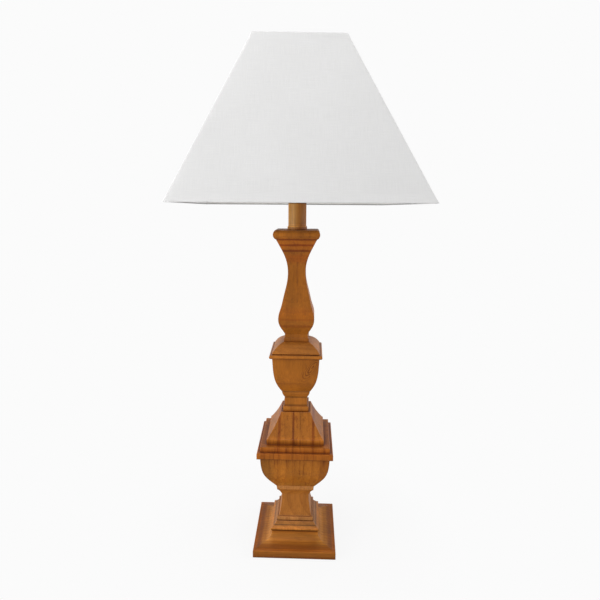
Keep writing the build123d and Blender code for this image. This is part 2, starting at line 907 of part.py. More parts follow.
with BuildPart() as terminal_screws:
    for side in (1, -1):
        with BuildSketch(Plane.YZ.offset(side * mechanism_flat_width / 2)):
            with Locations((0, mechanism_bottom + terminal_screw_height)):
                Circle(terminal_screw_diameter / 2)
                Rectangle(terminal_screw_diameter, contact_thickness, mode=Mode.SUBTRACT)
        extrude(amount=side * terminal_screw_thickness)
        with BuildSketch(Plane.YZ.offset(side * mechanism_flat_width / 2)):
            with Locations((0, mechanism_bottom + terminal_screw_height)):
                Circle(terminal_screw_diameter / 2)
        extrude(amount=side * terminal_screw_thickness / 2)
save(terminal_screws, "terminal_screws")

# ---------------------------------------------------------------- turn switch
knob_back = shell_radius + knob_gap
shaft_end = knob_back + knob_socket_depth
shaft_start = mechanism_radius - switch_shaft_depth
with BuildPart() as switch_shaft:
    with BuildSketch(Plane.XZ.offset(shaft_start)):
        with Locations((0, switch_z)):
            Circle(switch_shaft_diameter / 2)
    extrude(amount=shaft_end - shaft_start)
save(switch_shaft, "switch_shaft")

with BuildPart() as switch_knob:
    with BuildSketch(Plane.XZ.offset(knob_back)):
        with Locations((0, switch_z)):
            Circle(knob_neck_diameter / 2)
    extrude(amount=knob_neck_length)
    with BuildSketch(Plane.XZ.offset(knob_back + knob_neck_length)):
        with Locations((0, switch_z)):
            Circle(knob_diameter / 2)
            with PolarLocations(knob_diameter / 2, knob_ribs):
                Circle(knob_rib_depth, mode=Mode.SUBTRACT)
    extrude(amount=knob_length - knob_neck_length)
    with BuildSketch(Plane.XZ.offset(knob_back)):
        with Locations((0, switch_z)):
            Circle(switch_shaft_diameter / 2 + running_clearance)
    extrude(amount=knob_socket_depth + seat_gap, mode=Mode.SUBTRACT)
save(switch_knob, "switch_knob")

# ---------------------------------------------------------------- harp
harp_top = shade_seat - stud_shoulder_thickness - seat_gap - boss_height / 2
spread_half = (harp_width - harp_wire) / 2
with BuildPart() as harp:
    with BuildLine(Plane.XZ) as harp_path:
        FilletPolyline(
            (-leg_half, saddle_top),
            (-leg_half, saddle_top + harp_leg_height),
            (-spread_half, saddle_top + harp_spread_height),
            (-spread_half, harp_top),
            (spread_half, harp_top),
            (spread_half, saddle_top + harp_spread_height),
            (leg_half, saddle_top + harp_leg_height),
            (leg_half, saddle_top),
            radius=(
                harp_leg_radius,
                harp_leg_radius,
                harp_shoulder_radius,
                harp_shoulder_radius,
                harp_leg_radius,
                harp_leg_radius,
            ),
        )
    with BuildSketch(Plane(origin=harp_path.line @ 0, z_dir=harp_path.line % 0)):
        Circle(harp_wire / 2)
    sweep()
    with Locations((0, 0, harp_top)):
        Cylinder(boss_diameter / 2, boss_height)
        Cylinder(stud_shank_diameter / 2 + running_clearance, 2 * boss_height, mode=Mode.SUBTRACT)
save(harp, "harp")

for side, name in ((-1, "ferrule_left"), (1, "ferrule_right")):
    with BuildPart() as ferrule:
        with BuildSketch(Plane.XY.offset(shoulder_top + seat_gap)):
            with Locations((side * ferrule_x, 0)):
                Circle(ferrule_diameter / 2)
                Circle(ferrule_bore / 2, mode=Mode.SUBTRACT)
        extrude(amount=ferrule_height)
    save(ferrule, name)

boss_bottom = harp_top - boss_height / 2
boss_top = harp_top + boss_height / 2
with BuildPart() as harp_stud:
    with BuildSketch(Plane.XZ):
        with BuildLine():
            Polyline(
                (0, boss_bottom - seat_gap - stud_head_thickness),
                (stud_head_diameter / 2, boss_bottom - seat_gap - stud_head_thickness),
                (stud_head_diameter / 2, boss_bottom - seat_gap),
                (stud_shank_diameter / 2, boss_bottom - seat_gap),
                (stud_shank_diameter / 2, boss_top + seat_gap),
                (stud_shoulder_diameter / 2, boss_top + seat_gap),
                (stud_shoulder_diameter / 2, shade_seat),
                (stud_thread_diameter / 2, shade_seat),
                (stud_thread_diameter / 2, shade_seat + stud_thread_length),
                (0, shade_seat + stud_thread_length),
                close=True,
            )
        make_face()
    revolve(axis=Axis.Z)
save(harp_stud, "harp_stud")

# ---------------------------------------------------------------- shade frame
shade_slope = (shade_bottom_width - shade_top_width) / 2 / shade_height
shade_slant = sqrt(1 + shade_slope**2)      # a face's thickness, measured level, grows by this


def shade_half(level, inward=0):
    """Half the shade's width at a level, measured inward from its outer faces."""
    return shade_top_width / 2 + shade_slope * (shade_top - level) - inward * shade_slant


wire_inward = panel_thickness + glue_line + frame_wire / 2
top_ring_level = shade_top - top_ring_set_back
bottom_ring_level = shade_bottom + bottom_ring_set_back
for level, name in ((top_ring_level, "shade_top_ring"), (bottom_ring_level, "shade_bottom_ring")):
    ring_half = shade_half(level, wire_inward)
    with BuildPart() as ring:
        with BuildLine(Plane.XY.offset(level)) as ring_path:
            FilletPolyline(
                (ring_half, -ring_half),
                (ring_half, ring_half),
                (-ring_half, ring_half),
                (-ring_half, -ring_half),
                radius=frame_corner_radius,
                close=True,
            )
        with BuildSketch(Plane(origin=ring_path.line @ 0, z_dir=ring_path.line % 0)):
            Circle(frame_wire / 2)
        sweep()
    save(ring, name, shade_turn)

arm_level = shade_seat + hub_thickness / 2
arm_end = shade_half(top_ring_level, wire_inward) - frame_wire / 2 - glue_line
with BuildPart() as shade_spider:
    with BuildLine(Plane.XZ) as arm_path:
        FilletPolyline(
            (hub_diameter / 2 - frame_wire, arm_level),
            (arm_flat_reach, arm_level),
            (arm_end, top_ring_level),
            radius=arm_bend_radius,
        )
    with BuildSketch(Plane(origin=arm_path.line @ 0, z_dir=arm_path.line % 0)):
        Circle(frame_wire / 2)
    sweep()
    with Locations(*[Rotation(0, 0, 360 / spider_arms * turn) for turn in range(1, spider_arms)]):
        add(shade_spider.part)
    with BuildSketch(Plane.XY.offset(shade_seat)):
        Circle(hub_diameter / 2)
    extrude(amount=hub_thickness)
    with Locations((0, 0, shade_seat)):
        Cylinder(hub_bore / 2, 4 * frame_wire, mode=Mode.SUBTRACT)
save(shade_spider, "shade_spider", shade_turn)

# ---------------------------------------------------------------- shade panels and hems
for turn, side in enumerate(("front", "right", "back", "left")):
    with BuildPart() as panel:
        for level in (shade_bottom, shade_top):
            outer, inner = shade_half(level), shade_half(level, panel_thickness)
            with BuildSketch(Plane.XY.rotated((0, 0, 90 * turn)).offset(level)):
                Polygon((-outer, -outer), (outer, -outer), (inner, -inner), (-inner, -inner), align=None)
        loft(ruled=True)
    save(panel, f"shade_panel_{side}", shade_turn)

hem_level = {
    "shade_bottom_trim": (shade_bottom - hem_thickness, shade_bottom, shade_bottom + hem_width),
    "shade_top_trim": (shade_top + hem_thickness, shade_top, shade_top - hem_width),
}
for name, (lip, fold, end) in hem_level.items():
    with BuildPart() as trim:
        for level in (lip, end):
            with BuildSketch(Plane.XY.offset(level)):
                Rectangle(2 * shade_half(level, -hem_thickness), 2 * shade_half(level, -hem_thickness))
        loft(ruled=True)
        for level in (fold, end):
            with BuildSketch(Plane.XY.offset(level)):
                Rectangle(2 * shade_half(level), 2 * shade_half(level))
        loft(ruled=True, mode=Mode.SUBTRACT)
        for level in (lip, fold):
            with BuildSketch(Plane.XY.offset(level)):
                Rectangle(2 * shade_half(level, panel_thickness), 2 * shade_half(level, panel_thickness))
        loft(ruled=True, mode=Mode.SUBTRACT)
    save(trim, name, shade_turn)

# ---------------------------------------------------------------- finial, turned
finial_neck_half = finial_neck_diameter / 2
ball_radius = finial_diameter / 2
ball_centre = hub_top + finial_height - ball_radius
neck_meets_ball = ball_centre - sqrt(ball_radius**2 - finial_neck_half**2)
with BuildPart() as finial:
    with BuildSketch(Plane.XZ):
        with BuildLine():
            Polyline(
                (0, hub_top + finial_height),
                (0, hub_top),
                (finial_foot_diameter / 2, hub_top),
                (finial_foot_diameter / 2, hub_top + finial_foot_edge),
                (finial_neck_half, hub_top + finial_neck_foot),
                (finial_neck_half, neck_meets_ball),
            )
            ThreePointArc(
                (finial_neck_half, neck_meets_ball),
                (ball_radius, ball_centre),
                (0, hub_top + finial_height),
            )
        make_face()
    revolve(axis=Axis.Z)
    with Locations((0, 0, hub_top)):
        Cylinder(
            stud_thread_diameter / 2 + sliding_clearance,
            finial_thread_depth,
            align=(Align.CENTER, Align.CENTER, Align.MIN),
            mode=Mode.SUBTRACT,
        )
save(finial, "finial")

# ---------------------------------------------------------------- bulb
insulator_bottom = bulb_bottom + bulb_contact_height
bulb_cap_bottom = insulator_bottom + bulb_insulator_height
bulb_cap_top = bulb_cap_bottom + bulb_cap_height
bulb_top = bulb_bottom + bulb_length
bulb_radius = bulb_diameter / 2
with BuildPart() as bulb_contact:
    with BuildSketch(Plane.XY.offset(bulb_bottom)):
        Circle(bulb_contact_diameter / 2)
    extrude(amount=bulb_contact_height)
save(bulb_contact, "bulb_contact")

with BuildPart() as bulb_insulator:
    with BuildSketch(Plane.XY.offset(insulator_bottom)):
        Circle(bulb_contact_diameter / 2)
    with BuildSketch(Plane.XY.offset(bulb_cap_bottom)):
        Circle(bulb_insulator_top_diameter / 2)
    loft()
save(bulb_insulator, "bulb_insulator")

cap_inner = bulb_cap_diameter / 2 - bulb_cap_wall
with BuildPart() as bulb_screw_cap:
    with BuildSketch(Plane.XZ):
        with BuildLine():
            Polyline(
                (0, bulb_cap_bottom),
                (bulb_insulator_top_diameter / 2, bulb_cap_bottom),
                (bulb_cap_diameter / 2, bulb_cap_bottom + 3 * bulb_cap_wall),
                (bulb_cap_diameter / 2, bulb_cap_top),
                (cap_inner, bulb_cap_top),
                (cap_inner, bulb_cap_bottom + 4 * bulb_cap_wall),
                (0, bulb_cap_bottom + 4 * bulb_cap_wall),
                close=True,
            )
        make_face()
    revolve(axis=Axis.Z)
save(bulb_screw_cap, "bulb_screw_cap")

glass_foot = bulb_cap_top - bulb_cap_height / 3
globe_centre = bulb_top - bulb_radius
neck_end = bulb_cap_top + bulb_neck_rise
neck_half = bulb_neck_diameter / 2
# The glass leaves the neck upright and runs into the globe without a break, so the hollow arc's
# radius and the place where it meets the globe follow from the two diameters and the drop.
globe_drop = globe_centre - neck_end
hollow_radius = (globe_drop**2 - bulb_radius**2 + neck_half**2) / 2 / (bulb_radius - neck_half)
meeting = bulb_radius / (bulb_radius + hollow_radius)
with BuildPart() as bulb_glass:
    with BuildSketch(Plane.XZ):
        with BuildLine():
            Polyline(
                (0, glass_foot),
                (cap_inner, glass_foot),
                (cap_inner, bulb_cap_top),
                (neck_half, bulb_cap_top),
                (neck_half, neck_end),
            )
            shoulder = (
                meeting * (neck_half + hollow_radius),
                globe_centre - meeting * globe_drop,
            )
            TangentArc((neck_half, neck_end), shoulder, tangent=(0, 1))
            ThreePointArc(shoulder, (bulb_radius, globe_centre), (0, bulb_top))
            Line((0, bulb_top), (0, glass_foot))
        make_face()
    revolve(axis=Axis.Z)
save(bulb_glass, "bulb_glass")
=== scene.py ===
import math

import bmesh
import bpy
from mathutils import Matrix, Vector, noise


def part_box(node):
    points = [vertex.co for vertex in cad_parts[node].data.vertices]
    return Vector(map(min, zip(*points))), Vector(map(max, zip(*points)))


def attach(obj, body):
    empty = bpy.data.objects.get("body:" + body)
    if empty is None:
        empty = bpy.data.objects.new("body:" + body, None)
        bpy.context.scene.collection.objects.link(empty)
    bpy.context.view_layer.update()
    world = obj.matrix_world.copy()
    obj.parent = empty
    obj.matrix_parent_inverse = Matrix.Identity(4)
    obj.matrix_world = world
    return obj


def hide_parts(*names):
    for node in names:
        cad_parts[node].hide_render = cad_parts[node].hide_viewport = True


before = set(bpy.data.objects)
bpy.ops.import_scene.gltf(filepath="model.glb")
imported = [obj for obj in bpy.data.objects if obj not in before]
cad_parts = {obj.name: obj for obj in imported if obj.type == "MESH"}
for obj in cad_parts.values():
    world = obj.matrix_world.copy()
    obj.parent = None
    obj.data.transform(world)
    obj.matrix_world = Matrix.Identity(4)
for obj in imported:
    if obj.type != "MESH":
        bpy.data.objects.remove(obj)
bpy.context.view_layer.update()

# ---------------------------------------------------------------- camera
# A short lens at about two thirds of the lamp's height, tipped down. The lamp stands turned by two
# degrees, and the camera is tipped sideways by a third of a degree.
stand_off = 0.693
eye_height = 0.5087
lamp_turn = math.radians(1.9)
tip_down = math.radians(10.68)
roll = math.radians(0.33)
lens = bpy.data.cameras.new("camera")
lens.lens = 29.1
lens.sensor_width = 36
lens.shift_x = 0.0052
camera = bpy.data.objects.new("camera", lens)
bpy.context.collection.objects.link(camera)
camera.matrix_world = (
    Matrix.Translation(
        (stand_off * math.sin(lamp_turn), -stand_off * math.cos(lamp_turn), eye_height)
    )
    @ Matrix.Rotation(lamp_turn, 4, "Z")
    @ Matrix.Rotation(math.pi / 2 - tip_down, 4, "X")
    @ Matrix.Rotation(roll, 4, "Z")
)
bpy.context.scene.camera = camera
bpy.context.scene.view_settings.view_transform = "Standard"


# ---------------------------------------------------------------- light and floor
# Four large soft lamps stand in an even pale room: one at each side, one overhead and one in front
# at the left. The floor is the same white as the room and keeps a faint shadow of the lamp.
def feed(tree, socket, value):
    """Join a socket to another one, or set it to a plain value."""
    if isinstance(value, bpy.types.NodeSocket):
        tree.links.new(value, socket)
    else:
        socket.default_value = value


def lay(tree, kind, inputs=(), **settings):
    """Add a node to a tree, with its settings, and feed its inputs."""
    made = tree.nodes.new(kind)
    for name, value in settings.items():
        setattr(made, name, value)
    for name, value in dict(inputs).items():
        feed(tree, made.inputs[name], value)
    return made


def own_place(tree):
    """The place of each point of a piece, in metres."""
    return lay(tree, "ShaderNodeTexCoord").outputs["Object"]


def reckon(tree, operation, first, second=0.0):
    """The result of one sum in a shader."""
    return lay(tree, "ShaderNodeMath", {0: first, 1: second}, operation=operation).outputs[0]


def seen_white(tree):
    """1 where a surface is seen straight, mirrored or through glass, and 0 where it lights."""
    path = lay(tree, "ShaderNodeLightPath").outputs
    seen = reckon(tree, "MAXIMUM", path["Is Camera Ray"], path["Is Glossy Ray"])
    return reckon(tree, "MAXIMUM", seen, path["Is Transmission Ray"])


room_white = (0.965, 0.965, 0.965, 1)
room = bpy.data.worlds.new("room")
bpy.context.scene.world = room
room.use_nodes = True
room.node_tree.nodes.clear()
room_light = lay(
    room.node_tree, "ShaderNodeBackground", {"Color": (1, 1, 1, 1), "Strength": 0.30}
)
room_seen = lay(room.node_tree, "ShaderNodeBackground", {"Color": room_white, "Strength": 1.0})
room_mix = lay(
    room.node_tree,
    "ShaderNodeMixShader",
    {0: seen_white(room.node_tree), 1: room_light.outputs[0], 2: room_seen.outputs[0]},
)
lay(room.node_tree, "ShaderNodeOutputWorld", {"Surface": room_mix.outputs[0]})

lamp_middle = Vector((0, 0, 0.35))
for name, place, watts, width in (
    ("left lamp", (-1.5, -0.8, 0.55), 17.5, 0.9),
    ("right lamp", (1.6, -0.2, 0.9), 15, 1.0),
    ("overhead lamp", (-0.35, -0.15, 1.6), 9.5, 1.0),
    ("front lamp", (-1.25, -1.65, 0.7), 10, 1.2),
):
    glow = bpy.data.lights.new(name, "AREA")
    glow.energy = watts
    glow.size = width
    stand = bpy.data.objects.new(name, glow)
    bpy.context.collection.objects.link(stand)
    aim = (lamp_middle - Vector(place)).to_track_quat("-Z", "Y")
    stand.matrix_world = Matrix.Translation(place) @ aim.to_matrix().to_4x4()

floor_half = 6
shadow_near = 0.06
shadow_far = 0.26
shadow_tone = 0.92
floor_paint = bpy.data.materials.new("floor paint")
floor_paint.use_nodes = True
floor_tree = floor_paint.node_tree
floor_tree.nodes.clear()
floor_lit = lay(floor_tree, "ShaderNodeBsdfDiffuse", {"Color": (0.9, 0.9, 0.9, 1)})
floor_seen = lay(floor_tree, "ShaderNodeEmission", {"Color": room_white, "Strength": 1.0})
floor_place = own_place(floor_tree)
floor_reach = lay(
    floor_tree, "ShaderNodeVectorMath", {0: floor_place}, operation="LENGTH"
).outputs["Value"]
floor_faint = lay(
    floor_tree,
    "ShaderNodeMapRange",
    {0: floor_reach, 1: shadow_near, 2: shadow_far, 3: shadow_tone, 4: 1.0},
).outputs[0]
floor_share = reckon(floor_tree, "MULTIPLY", seen_white(floor_tree), floor_faint)
floor_mix = lay(
    floor_tree,
    "ShaderNodeMixShader",
    {0: floor_share, 1: floor_lit.outputs[0], 2: floor_seen.outputs[0]},
)
lay(floor_tree, "ShaderNodeOutputMaterial", {"Surface": floor_mix.outputs[0]})
floor_mesh = bpy.data.meshes.new("floor")
floor_mesh.from_pydata(
    [(x * floor_half, y * floor_half, 0) for x, y in ((-1, -1), (1, -1), (1, 1), (-1, 1))],
    [],
    [(0, 1, 2, 3)],
)
floor_mesh.materials.append(floor_paint)
floor = bpy.data.objects.new("floor", floor_mesh)
bpy.context.collection.objects.link(floor)


# ---------------------------------------------------------------- felt pad
# A square of dark wool felt, glued under the base so that it doesn't scratch the table.
# It is cut with scissors, so its edge is a little uneven and fluffy.
def tint(tree, amount, under, over, blend="MIX"):
    """One colour laid over another."""
    colours = {0: amount, 6: under, 7: over}
    made = lay(tree, "ShaderNodeMix", colours, data_type="RGBA", blend_type=blend)
    return made.outputs[2]


def graded(tree, value, *stops):
    """A value turned into a colour, or a grey, between the places given."""
    made = lay(tree, "ShaderNodeValToRGB", {0: value})
    places = made.color_ramp.elements
    while len(places) < len(stops):
        places.new(0.5)
    for place, (at, shade) in zip(places, stops):
        place.position = at
        place.color = shade if isinstance(shade, tuple) else (shade, shade, shade, 1)
    return made.outputs[0]


def speckle(tree, place, scale, detail=3.0, roughness=0.55):
    """Noise, drawn out by a scale for each direction."""
    drawn = lay(tree, "ShaderNodeMapping", {"Vector": place, "Scale": scale}).outputs[0]
    grains = {"Vector": drawn, "Scale": 1.0, "Detail": detail, "Roughness": roughness}
    return lay(tree, "ShaderNodeTexNoise", grains).outputs["Fac"]


def new_finish(name):
    """An empty material with its shader, ready for its nodes."""
    finish = bpy.data.materials.new(name)
    finish.use_nodes = True
    finish.node_tree.nodes.clear()
    tree = finish.node_tree
    surface = lay(tree, "ShaderNodeBsdfPrincipled")
    lay(tree, "ShaderNodeOutputMaterial", {"Surface": surface.outputs[0]})
    return finish, tree, surface


def put(tree, surface, **values):
    """Feed the shader's sockets, named with _ for a space."""
    for name, value in values.items():
        feed(tree, surface.inputs[name.replace("_", " ")], value)


def relief(tree, height, depth, strength, base=None):
    """A bump of a real depth in metres."""
    sockets = {"Height": height, "Distance": depth, "Strength": strength}
    if base is not None:
        sockets["Normal"] = base
    return lay(tree, "ShaderNodeBump", sockets).outputs[0]


def new_piece(name, mesh, body, *finishes):
    """Put a finished mesh in the scene as a piece that rides on a body."""
    for finish in finishes:
        mesh.materials.append(finish)
    piece = bpy.data.objects.new(name, mesh)
    bpy.context.collection.objects.link(piece)
    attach(piece, body)
    return piece


wool_felt, tree, surface = new_finish("wool felt")
place = own_place(tree)
fluff = speckle(tree, place, (900, 900, 900), 5.0, 0.7)
lumps = speckle(tree, place, (90, 90, 90), 2.0)
put(
    tree,
    surface,
    Base_Color=tint(
        tree,
        graded(tree, lumps, (0.3, 0.0), (0.7, 1.0)),
        (0.030, 0.024, 0.017, 1),
        (0.052, 0.042, 0.030, 1),
    ),
    Roughness=0.95,
    Sheen_Weight=0.35,
    Normal=relief(tree, fluff, 0.0006, 0.7),
)
felt_low, felt_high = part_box("felt_pad")
felt_half = felt_high.x
felt_corner = 0.003
felt_steps = 46
felt_corner_steps = 5
fray = 0.00025
felt_outline = []
for side in range(4):
    turn = Matrix.Rotation(side * math.pi / 2, 3, "Z")
    reach = felt_half - felt_corner
    for step in range(felt_steps):
        along = -reach + 2 * reach * step / felt_steps
        felt_outline.append(turn @ Vector((along, -felt_half, 0)))
    for step in range(felt_corner_steps):
        bend = math.radians(-90 + 90 * step / felt_corner_steps)
        corner = (reach + felt_corner * math.cos(bend), -reach + felt_corner * math.sin(bend), 0)
        felt_outline.append(turn @ Vector(corner))
felt_build = bmesh.new()
felt_rings = []
for height, draw_in in (
    (felt_low.z, 0.0006),
    (felt_low.z + 0.0004, 0.0001),
    (felt_low.z + 0.0010, 0.0),
    (felt_high.z, 0.0002),
):
    ring = []
    for point in felt_outline:
        ragged = fray * noise.noise(Vector((point.x * 260, point.y * 260, height * 900)))
        size = 1 - (draw_in + abs(ragged)) / felt_half
        ring.append(felt_build.verts.new((point.x * size, point.y * size, height)))
    felt_rings.append(ring)
for lower, upper in zip(felt_rings, felt_rings[1:]):
    for count in range(len(lower)):
        after = (count + 1) % len(lower)
        felt_build.faces.new((lower[count], lower[after], upper[after], upper[count]))
felt_build.faces.new(list(reversed(felt_rings[0])))
felt_build.faces.new(felt_rings[-1])
felt_mesh = bpy.data.meshes.new("felt_underlay")
felt_build.to_mesh(felt_mesh)
felt_underlay = new_piece("felt_underlay", felt_mesh, "column", wool_felt)
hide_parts("felt_pad")


# ---------------------------------------------------------------- base slab
# One broad block of stained hardwood with its grain from side to side. Between the flat edge and
# the raised field a deep cove runs round all four sides, under a thin lip. It is cut into a copy of
# the plain block here, and takes that block's place.
def year_rings(tree, log, ring_gap, mid, late):
    """The log's rings round its pith, each from a plain tone to its dark late wood."""
    drawn_out = (1, 1, 0.16)
    drawn = lay(tree, "ShaderNodeMapping", {"Vector": log, "Scale": drawn_out}).outputs[0]
    rings = lay(
        tree,
        "ShaderNodeTexWave",
        {
            "Vector": drawn,
            "Scale": math.pi / 10 / ring_gap,
            "Distortion": 1.6,
            "Detail": 3.0,
            "Detail Scale": 0.35,
            "Detail Roughness": 0.5,
        },
        wave_type="RINGS",
        rings_direction="Z",
        wave_profile="SAW",
    ).outputs["Fac"]
    light = tuple(min(1.0, 1.14 * part) for part in mid)
    return graded(
        tree,
        rings,
        (0.0, (*mid, 1)),
        (0.10, (*light, 1)),
        (0.55, (*mid, 1)),
        (0.88, (*(0.55 * a + 0.45 * b for a, b in zip(mid, late)), 1)),
        (0.96, (*late, 1)),
        (1.0, (*(0.4 * a + 0.6 * b for a, b in zip(mid, late)), 1)),
    )


def knot_swirl(tree, place, across, up, reach):
    """Dark rings round a knot that runs through the block from front to back."""
    lean = 0.62
    stretch = (0.62, 1000, 1.9)
    waves = 0.006
    rate = 1900
    heart = lay(
        tree,
        "ShaderNodeMapping",
        {"Vector": place, "Location": (across, 0, up), "Rotation": (0, lean, 0), "Scale": stretch},
        vector_type="TEXTURE",
    ).outputs[0]
    away = lay(tree, "ShaderNodeVectorMath", {0: heart}, operation="LENGTH").outputs["Value"]
    wavy = reckon(tree, "MULTIPLY", speckle(tree, place, (110, 110, 110), 2.0), waves)
    swirl = reckon(tree, "MULTIPLY", reckon(tree, "ADD", away, wavy), rate)
    swirl = reckon(tree, "SINE", swirl)
    return reckon(
        tree,
        "MULTIPLY",
        graded(tree, swirl, (0.1, 0.0), (0.9, 1.0)),
        graded(tree, reckon(tree, "DIVIDE", away, reach), (0.35, 1.0), (1.0, 0.0)),
    )


def timber_line(tree, place, colour, number, axis, at, width, tone, sway, *span):
    """A colour with one dark or light line on it: level at a height for Z, or upright for X.

    The number makes each line sway in its own way. A span lets the line fade along its height: a
    low and a high place, and its share below the one and above the other.
    """
    along = lay(tree, "ShaderNodeSeparateXYZ", {0: place}).outputs
    wander = reckon(tree, "SUBTRACT", speckle(tree, place, (40, 40, 30 + number)), 0.5)
    wander = reckon(tree, "MULTIPLY", wander, sway)
    off = reckon(tree, "SUBTRACT", reckon(tree, "ADD", along[axis], wander), at)
    off = reckon(tree, "ABSOLUTE", off)
    seam = graded(tree, reckon(tree, "DIVIDE", off, width), (0.35, tone), (1.0, 1.0))
    share = 1.0
    if span:
        low, high, share_below, share_above = span
        share = graded(tree, along["Z"], (low, share_below), (high, share_above))
    return tint(tree, share, colour, seam, "MULTIPLY")


def lit_arris_and_wear(tree, eased, upward, open_share):
    """1 where an edge takes a painted highlight, partly rubbed wear: sharp, open and not facing down.
    """
    flat = lay(tree, "ShaderNodeNewGeometry").outputs["Normal"]
    agree = lay(
        tree, "ShaderNodeVectorMath", {0: eased, 1: flat}, operation="DOT_PRODUCT"
    ).outputs["Value"]
    arris = reckon(
        tree,
        "MULTIPLY",
        graded(tree, agree, (0.86, 1.0), (0.985, 0.0)),
        graded(tree, open_share, (0.72, 0.0), (0.92, 1.0)),
    )
    return reckon(tree, "MULTIPLY", arris, graded(tree, upward, (0.05, 0.0), (0.35, 1.0)))


def timber(
    name,
    pith,
    ring_gap,
    mid,
    late,
    depth,
    streaks,
    grain="up",
    lines=(),
    knot=None,
    sheen=0.14,
):
    """Stained timber: rings, streaks, knot, fibres, pores, lines, painted hollow shade, painted edge
    highlights.
    """
    shelter_reach = 0.009
    arris_radius = 0.0015
    finish, tree, surface = new_finish(name)
    place = own_place(tree)
    log = lay(
        tree,
        "ShaderNodeMapping",
        {
            "Vector": place,
            "Location": (-pith[0], -pith[1], 0),
            "Rotation": (0, math.pi / 2 if grain == "across" else 0, 0),
        },
    ).outputs[0]
    colour = tint(tree, depth, (*mid, 1), year_rings(tree, log, ring_gap, mid, late))
    streak = graded(tree, speckle(tree, log, (190, 190, 5), 4.0, 0.62), (0.53, 0.0), (0.70, 1.0))
    colour = tint(tree, reckon(tree, "MULTIPLY", streak, streaks), colour, (*late, 1))
    if knot:
        colour = tint(tree, knot_swirl(tree, place, *knot), colour, (*late, 1))
    fibre = speckle(tree, log, (950, 950, 14), 4.0, 0.62)
    fibre_tone = graded(tree, fibre, (0.28, 0.74), (0.72, 1.20))
    colour = tint(tree, 0.85, colour, fibre_tone, "MULTIPLY")
    pores = speckle(tree, log, (2300, 2300, 70), 1.0, 0.4)
    pores = graded(tree, pores, (0.60, 1.0), (0.70, 0.0))
    pore_tone = graded(tree, pores, (0.0, 0.45), (1.0, 1.0))
    colour = tint(tree, 0.45, colour, pore_tone, "MULTIPLY")
    cloud = speckle(tree, log, (34, 34, 9), 3.0, 0.6)
    cloud_tone = graded(tree, cloud, (0.25, 0.70), (0.75, 1.26))
    colour = tint(tree, 0.9, colour, cloud_tone, "MULTIPLY")
    for number, line in enumerate(lines):
        colour = timber_line(tree, place, colour, number, *line)
    open_share = lay(
        tree, "ShaderNodeAmbientOcclusion", {"Distance": shelter_reach}, samples=8
    ).outputs["AO"]
    # Painted shade: the colour darkens in hollows and corners, where the surface is sheltered.
    painted_hollow_shade = graded(
        tree,
        open_share,
        (0.40, (0.22, 0.15, 0.10, 1)),
        (0.66, (0.66, 0.56, 0.50, 1)),
        (0.90, (1, 1, 1, 1)),
    )
    colour = tint(tree, 1.0, colour, painted_hollow_shade, "MULTIPLY")
    eased = lay(tree, "ShaderNodeBevel", {"Radius": arris_radius}, samples=8).outputs[0]
    upward = lay(tree, "ShaderNodeSeparateXYZ", {0: eased}).outputs["Z"]
    # Painted highlight on sharp, open edges that don't face down, partly standing for rubbed wear.
    arris = lit_arris_and_wear(tree, eased, upward, open_share)
    arris_highlight_tone = tuple(min(1.0, 0.08 + 1.5 * part) for part in mid)
    colour = tint(tree, reckon(tree, "MULTIPLY", arris, 0.8), colour, (*arris_highlight_tone, 1))
    height = reckon(
        tree, "ADD", reckon(tree, "MULTIPLY", fibre, 0.35), reckon(tree, "MULTIPLY", pores, 0.4)
    )
    put(
        tree,
        surface,
        Base_Color=colour,
        Roughness=graded(tree, fibre, (0.3, 0.40), (0.7, 0.55)),
        Specular_IOR_Level=graded(tree, upward, (0.15, sheen), (0.75, 2.1 * sheen)),
        Normal=relief(tree, height, 0.00022, 0.6, eased),
    )
    return finish


stain_mid = (0.330, 0.108, 0.011)
base_timber = timber(
    "base timber",
    pith=(0.040, 0.260),
    ring_gap=0.0060,
    mid=stain_mid,
    late=(0.190, 0.050, 0.004),
    depth=0.35,
    streaks=0.35,
    grain="across",
    lines=(
        ("Z", 0.0060, 0.0080, (0.78, 0.79, 0.80, 1), 0.0004),  # edge, lower half
        ("Z", 0.0126, 0.0011, 1.55, 0.0002),  # painted highlight on the edge's upper corner
        ("Z", 0.0195, 0.0100, (1.08, 1.16, 1.45, 1), 0.0004),  # cove, lightened with a painted sheen
        ("X", -0.0440, 0.0130, (1.55, 1.80, 2.80, 1), 0.0040, 0.0146, 0.0162, 0.0, 1.0),  # painted highlight on the cove's left side
        ("X", 0.0480, 0.0180, (1.44, 1.62, 1.90, 1), 0.0040, 0.0128, 0.0140, 0.0, 1.0),  # painted highlight on the cove's right side
        ("Z", 0.0138, 0.0025, (0.56, 0.45, 0.30, 1), 0.0003),  # painted shade on the slope behind the edge
        ("Z", 0.0272, 0.0030, (0.84, 0.80, 0.78, 1), 0.0003),  # painted shade in the cove, under the lip
        ("Z", 0.0212, 0.0034, (0.86, 0.88, 0.90, 1), 0.0003),  # cove, middle
        ("Z", 0.0292, 0.0022, 0.30, 0.0003),  # painted shadow line under the lip
    ),
    sheen=0.10,
)
riser_half = 0.0348
cove_reach = 0.013
cove_low = 0.0156
cove_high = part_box("base_slab")[1].z
cove_roundness = 2.4
lip = 0.0006
ledge_half = 0.0582
ledge_low = 0.0128
hair = 0.00001
slope_middle = ledge_low + 0.0014
under_lip = 0.0260
first_gap = 0.0002
gap_growth = 1.45
cut_heights = [slope_middle, cove_low]
cut_heights += [cove_low + first_gap * gap_growth**count for count in range(11)]
cut_heights += [under_lip, cove_high - lip]
plain_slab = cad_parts["base_slab"]
slab_mesh = plain_slab.data.copy()
slab_mesh.transform(plain_slab.matrix_world)
hollowed = bmesh.new()
hollowed.from_mesh(slab_mesh)
for height in cut_heights:
    bmesh.ops.bisect_plane(
        hollowed,
        geom=[*hollowed.verts, *hollowed.edges, *hollowed.faces],
        plane_co=(0, 0, height),
        plane_no=(0, 0, 1),
    )
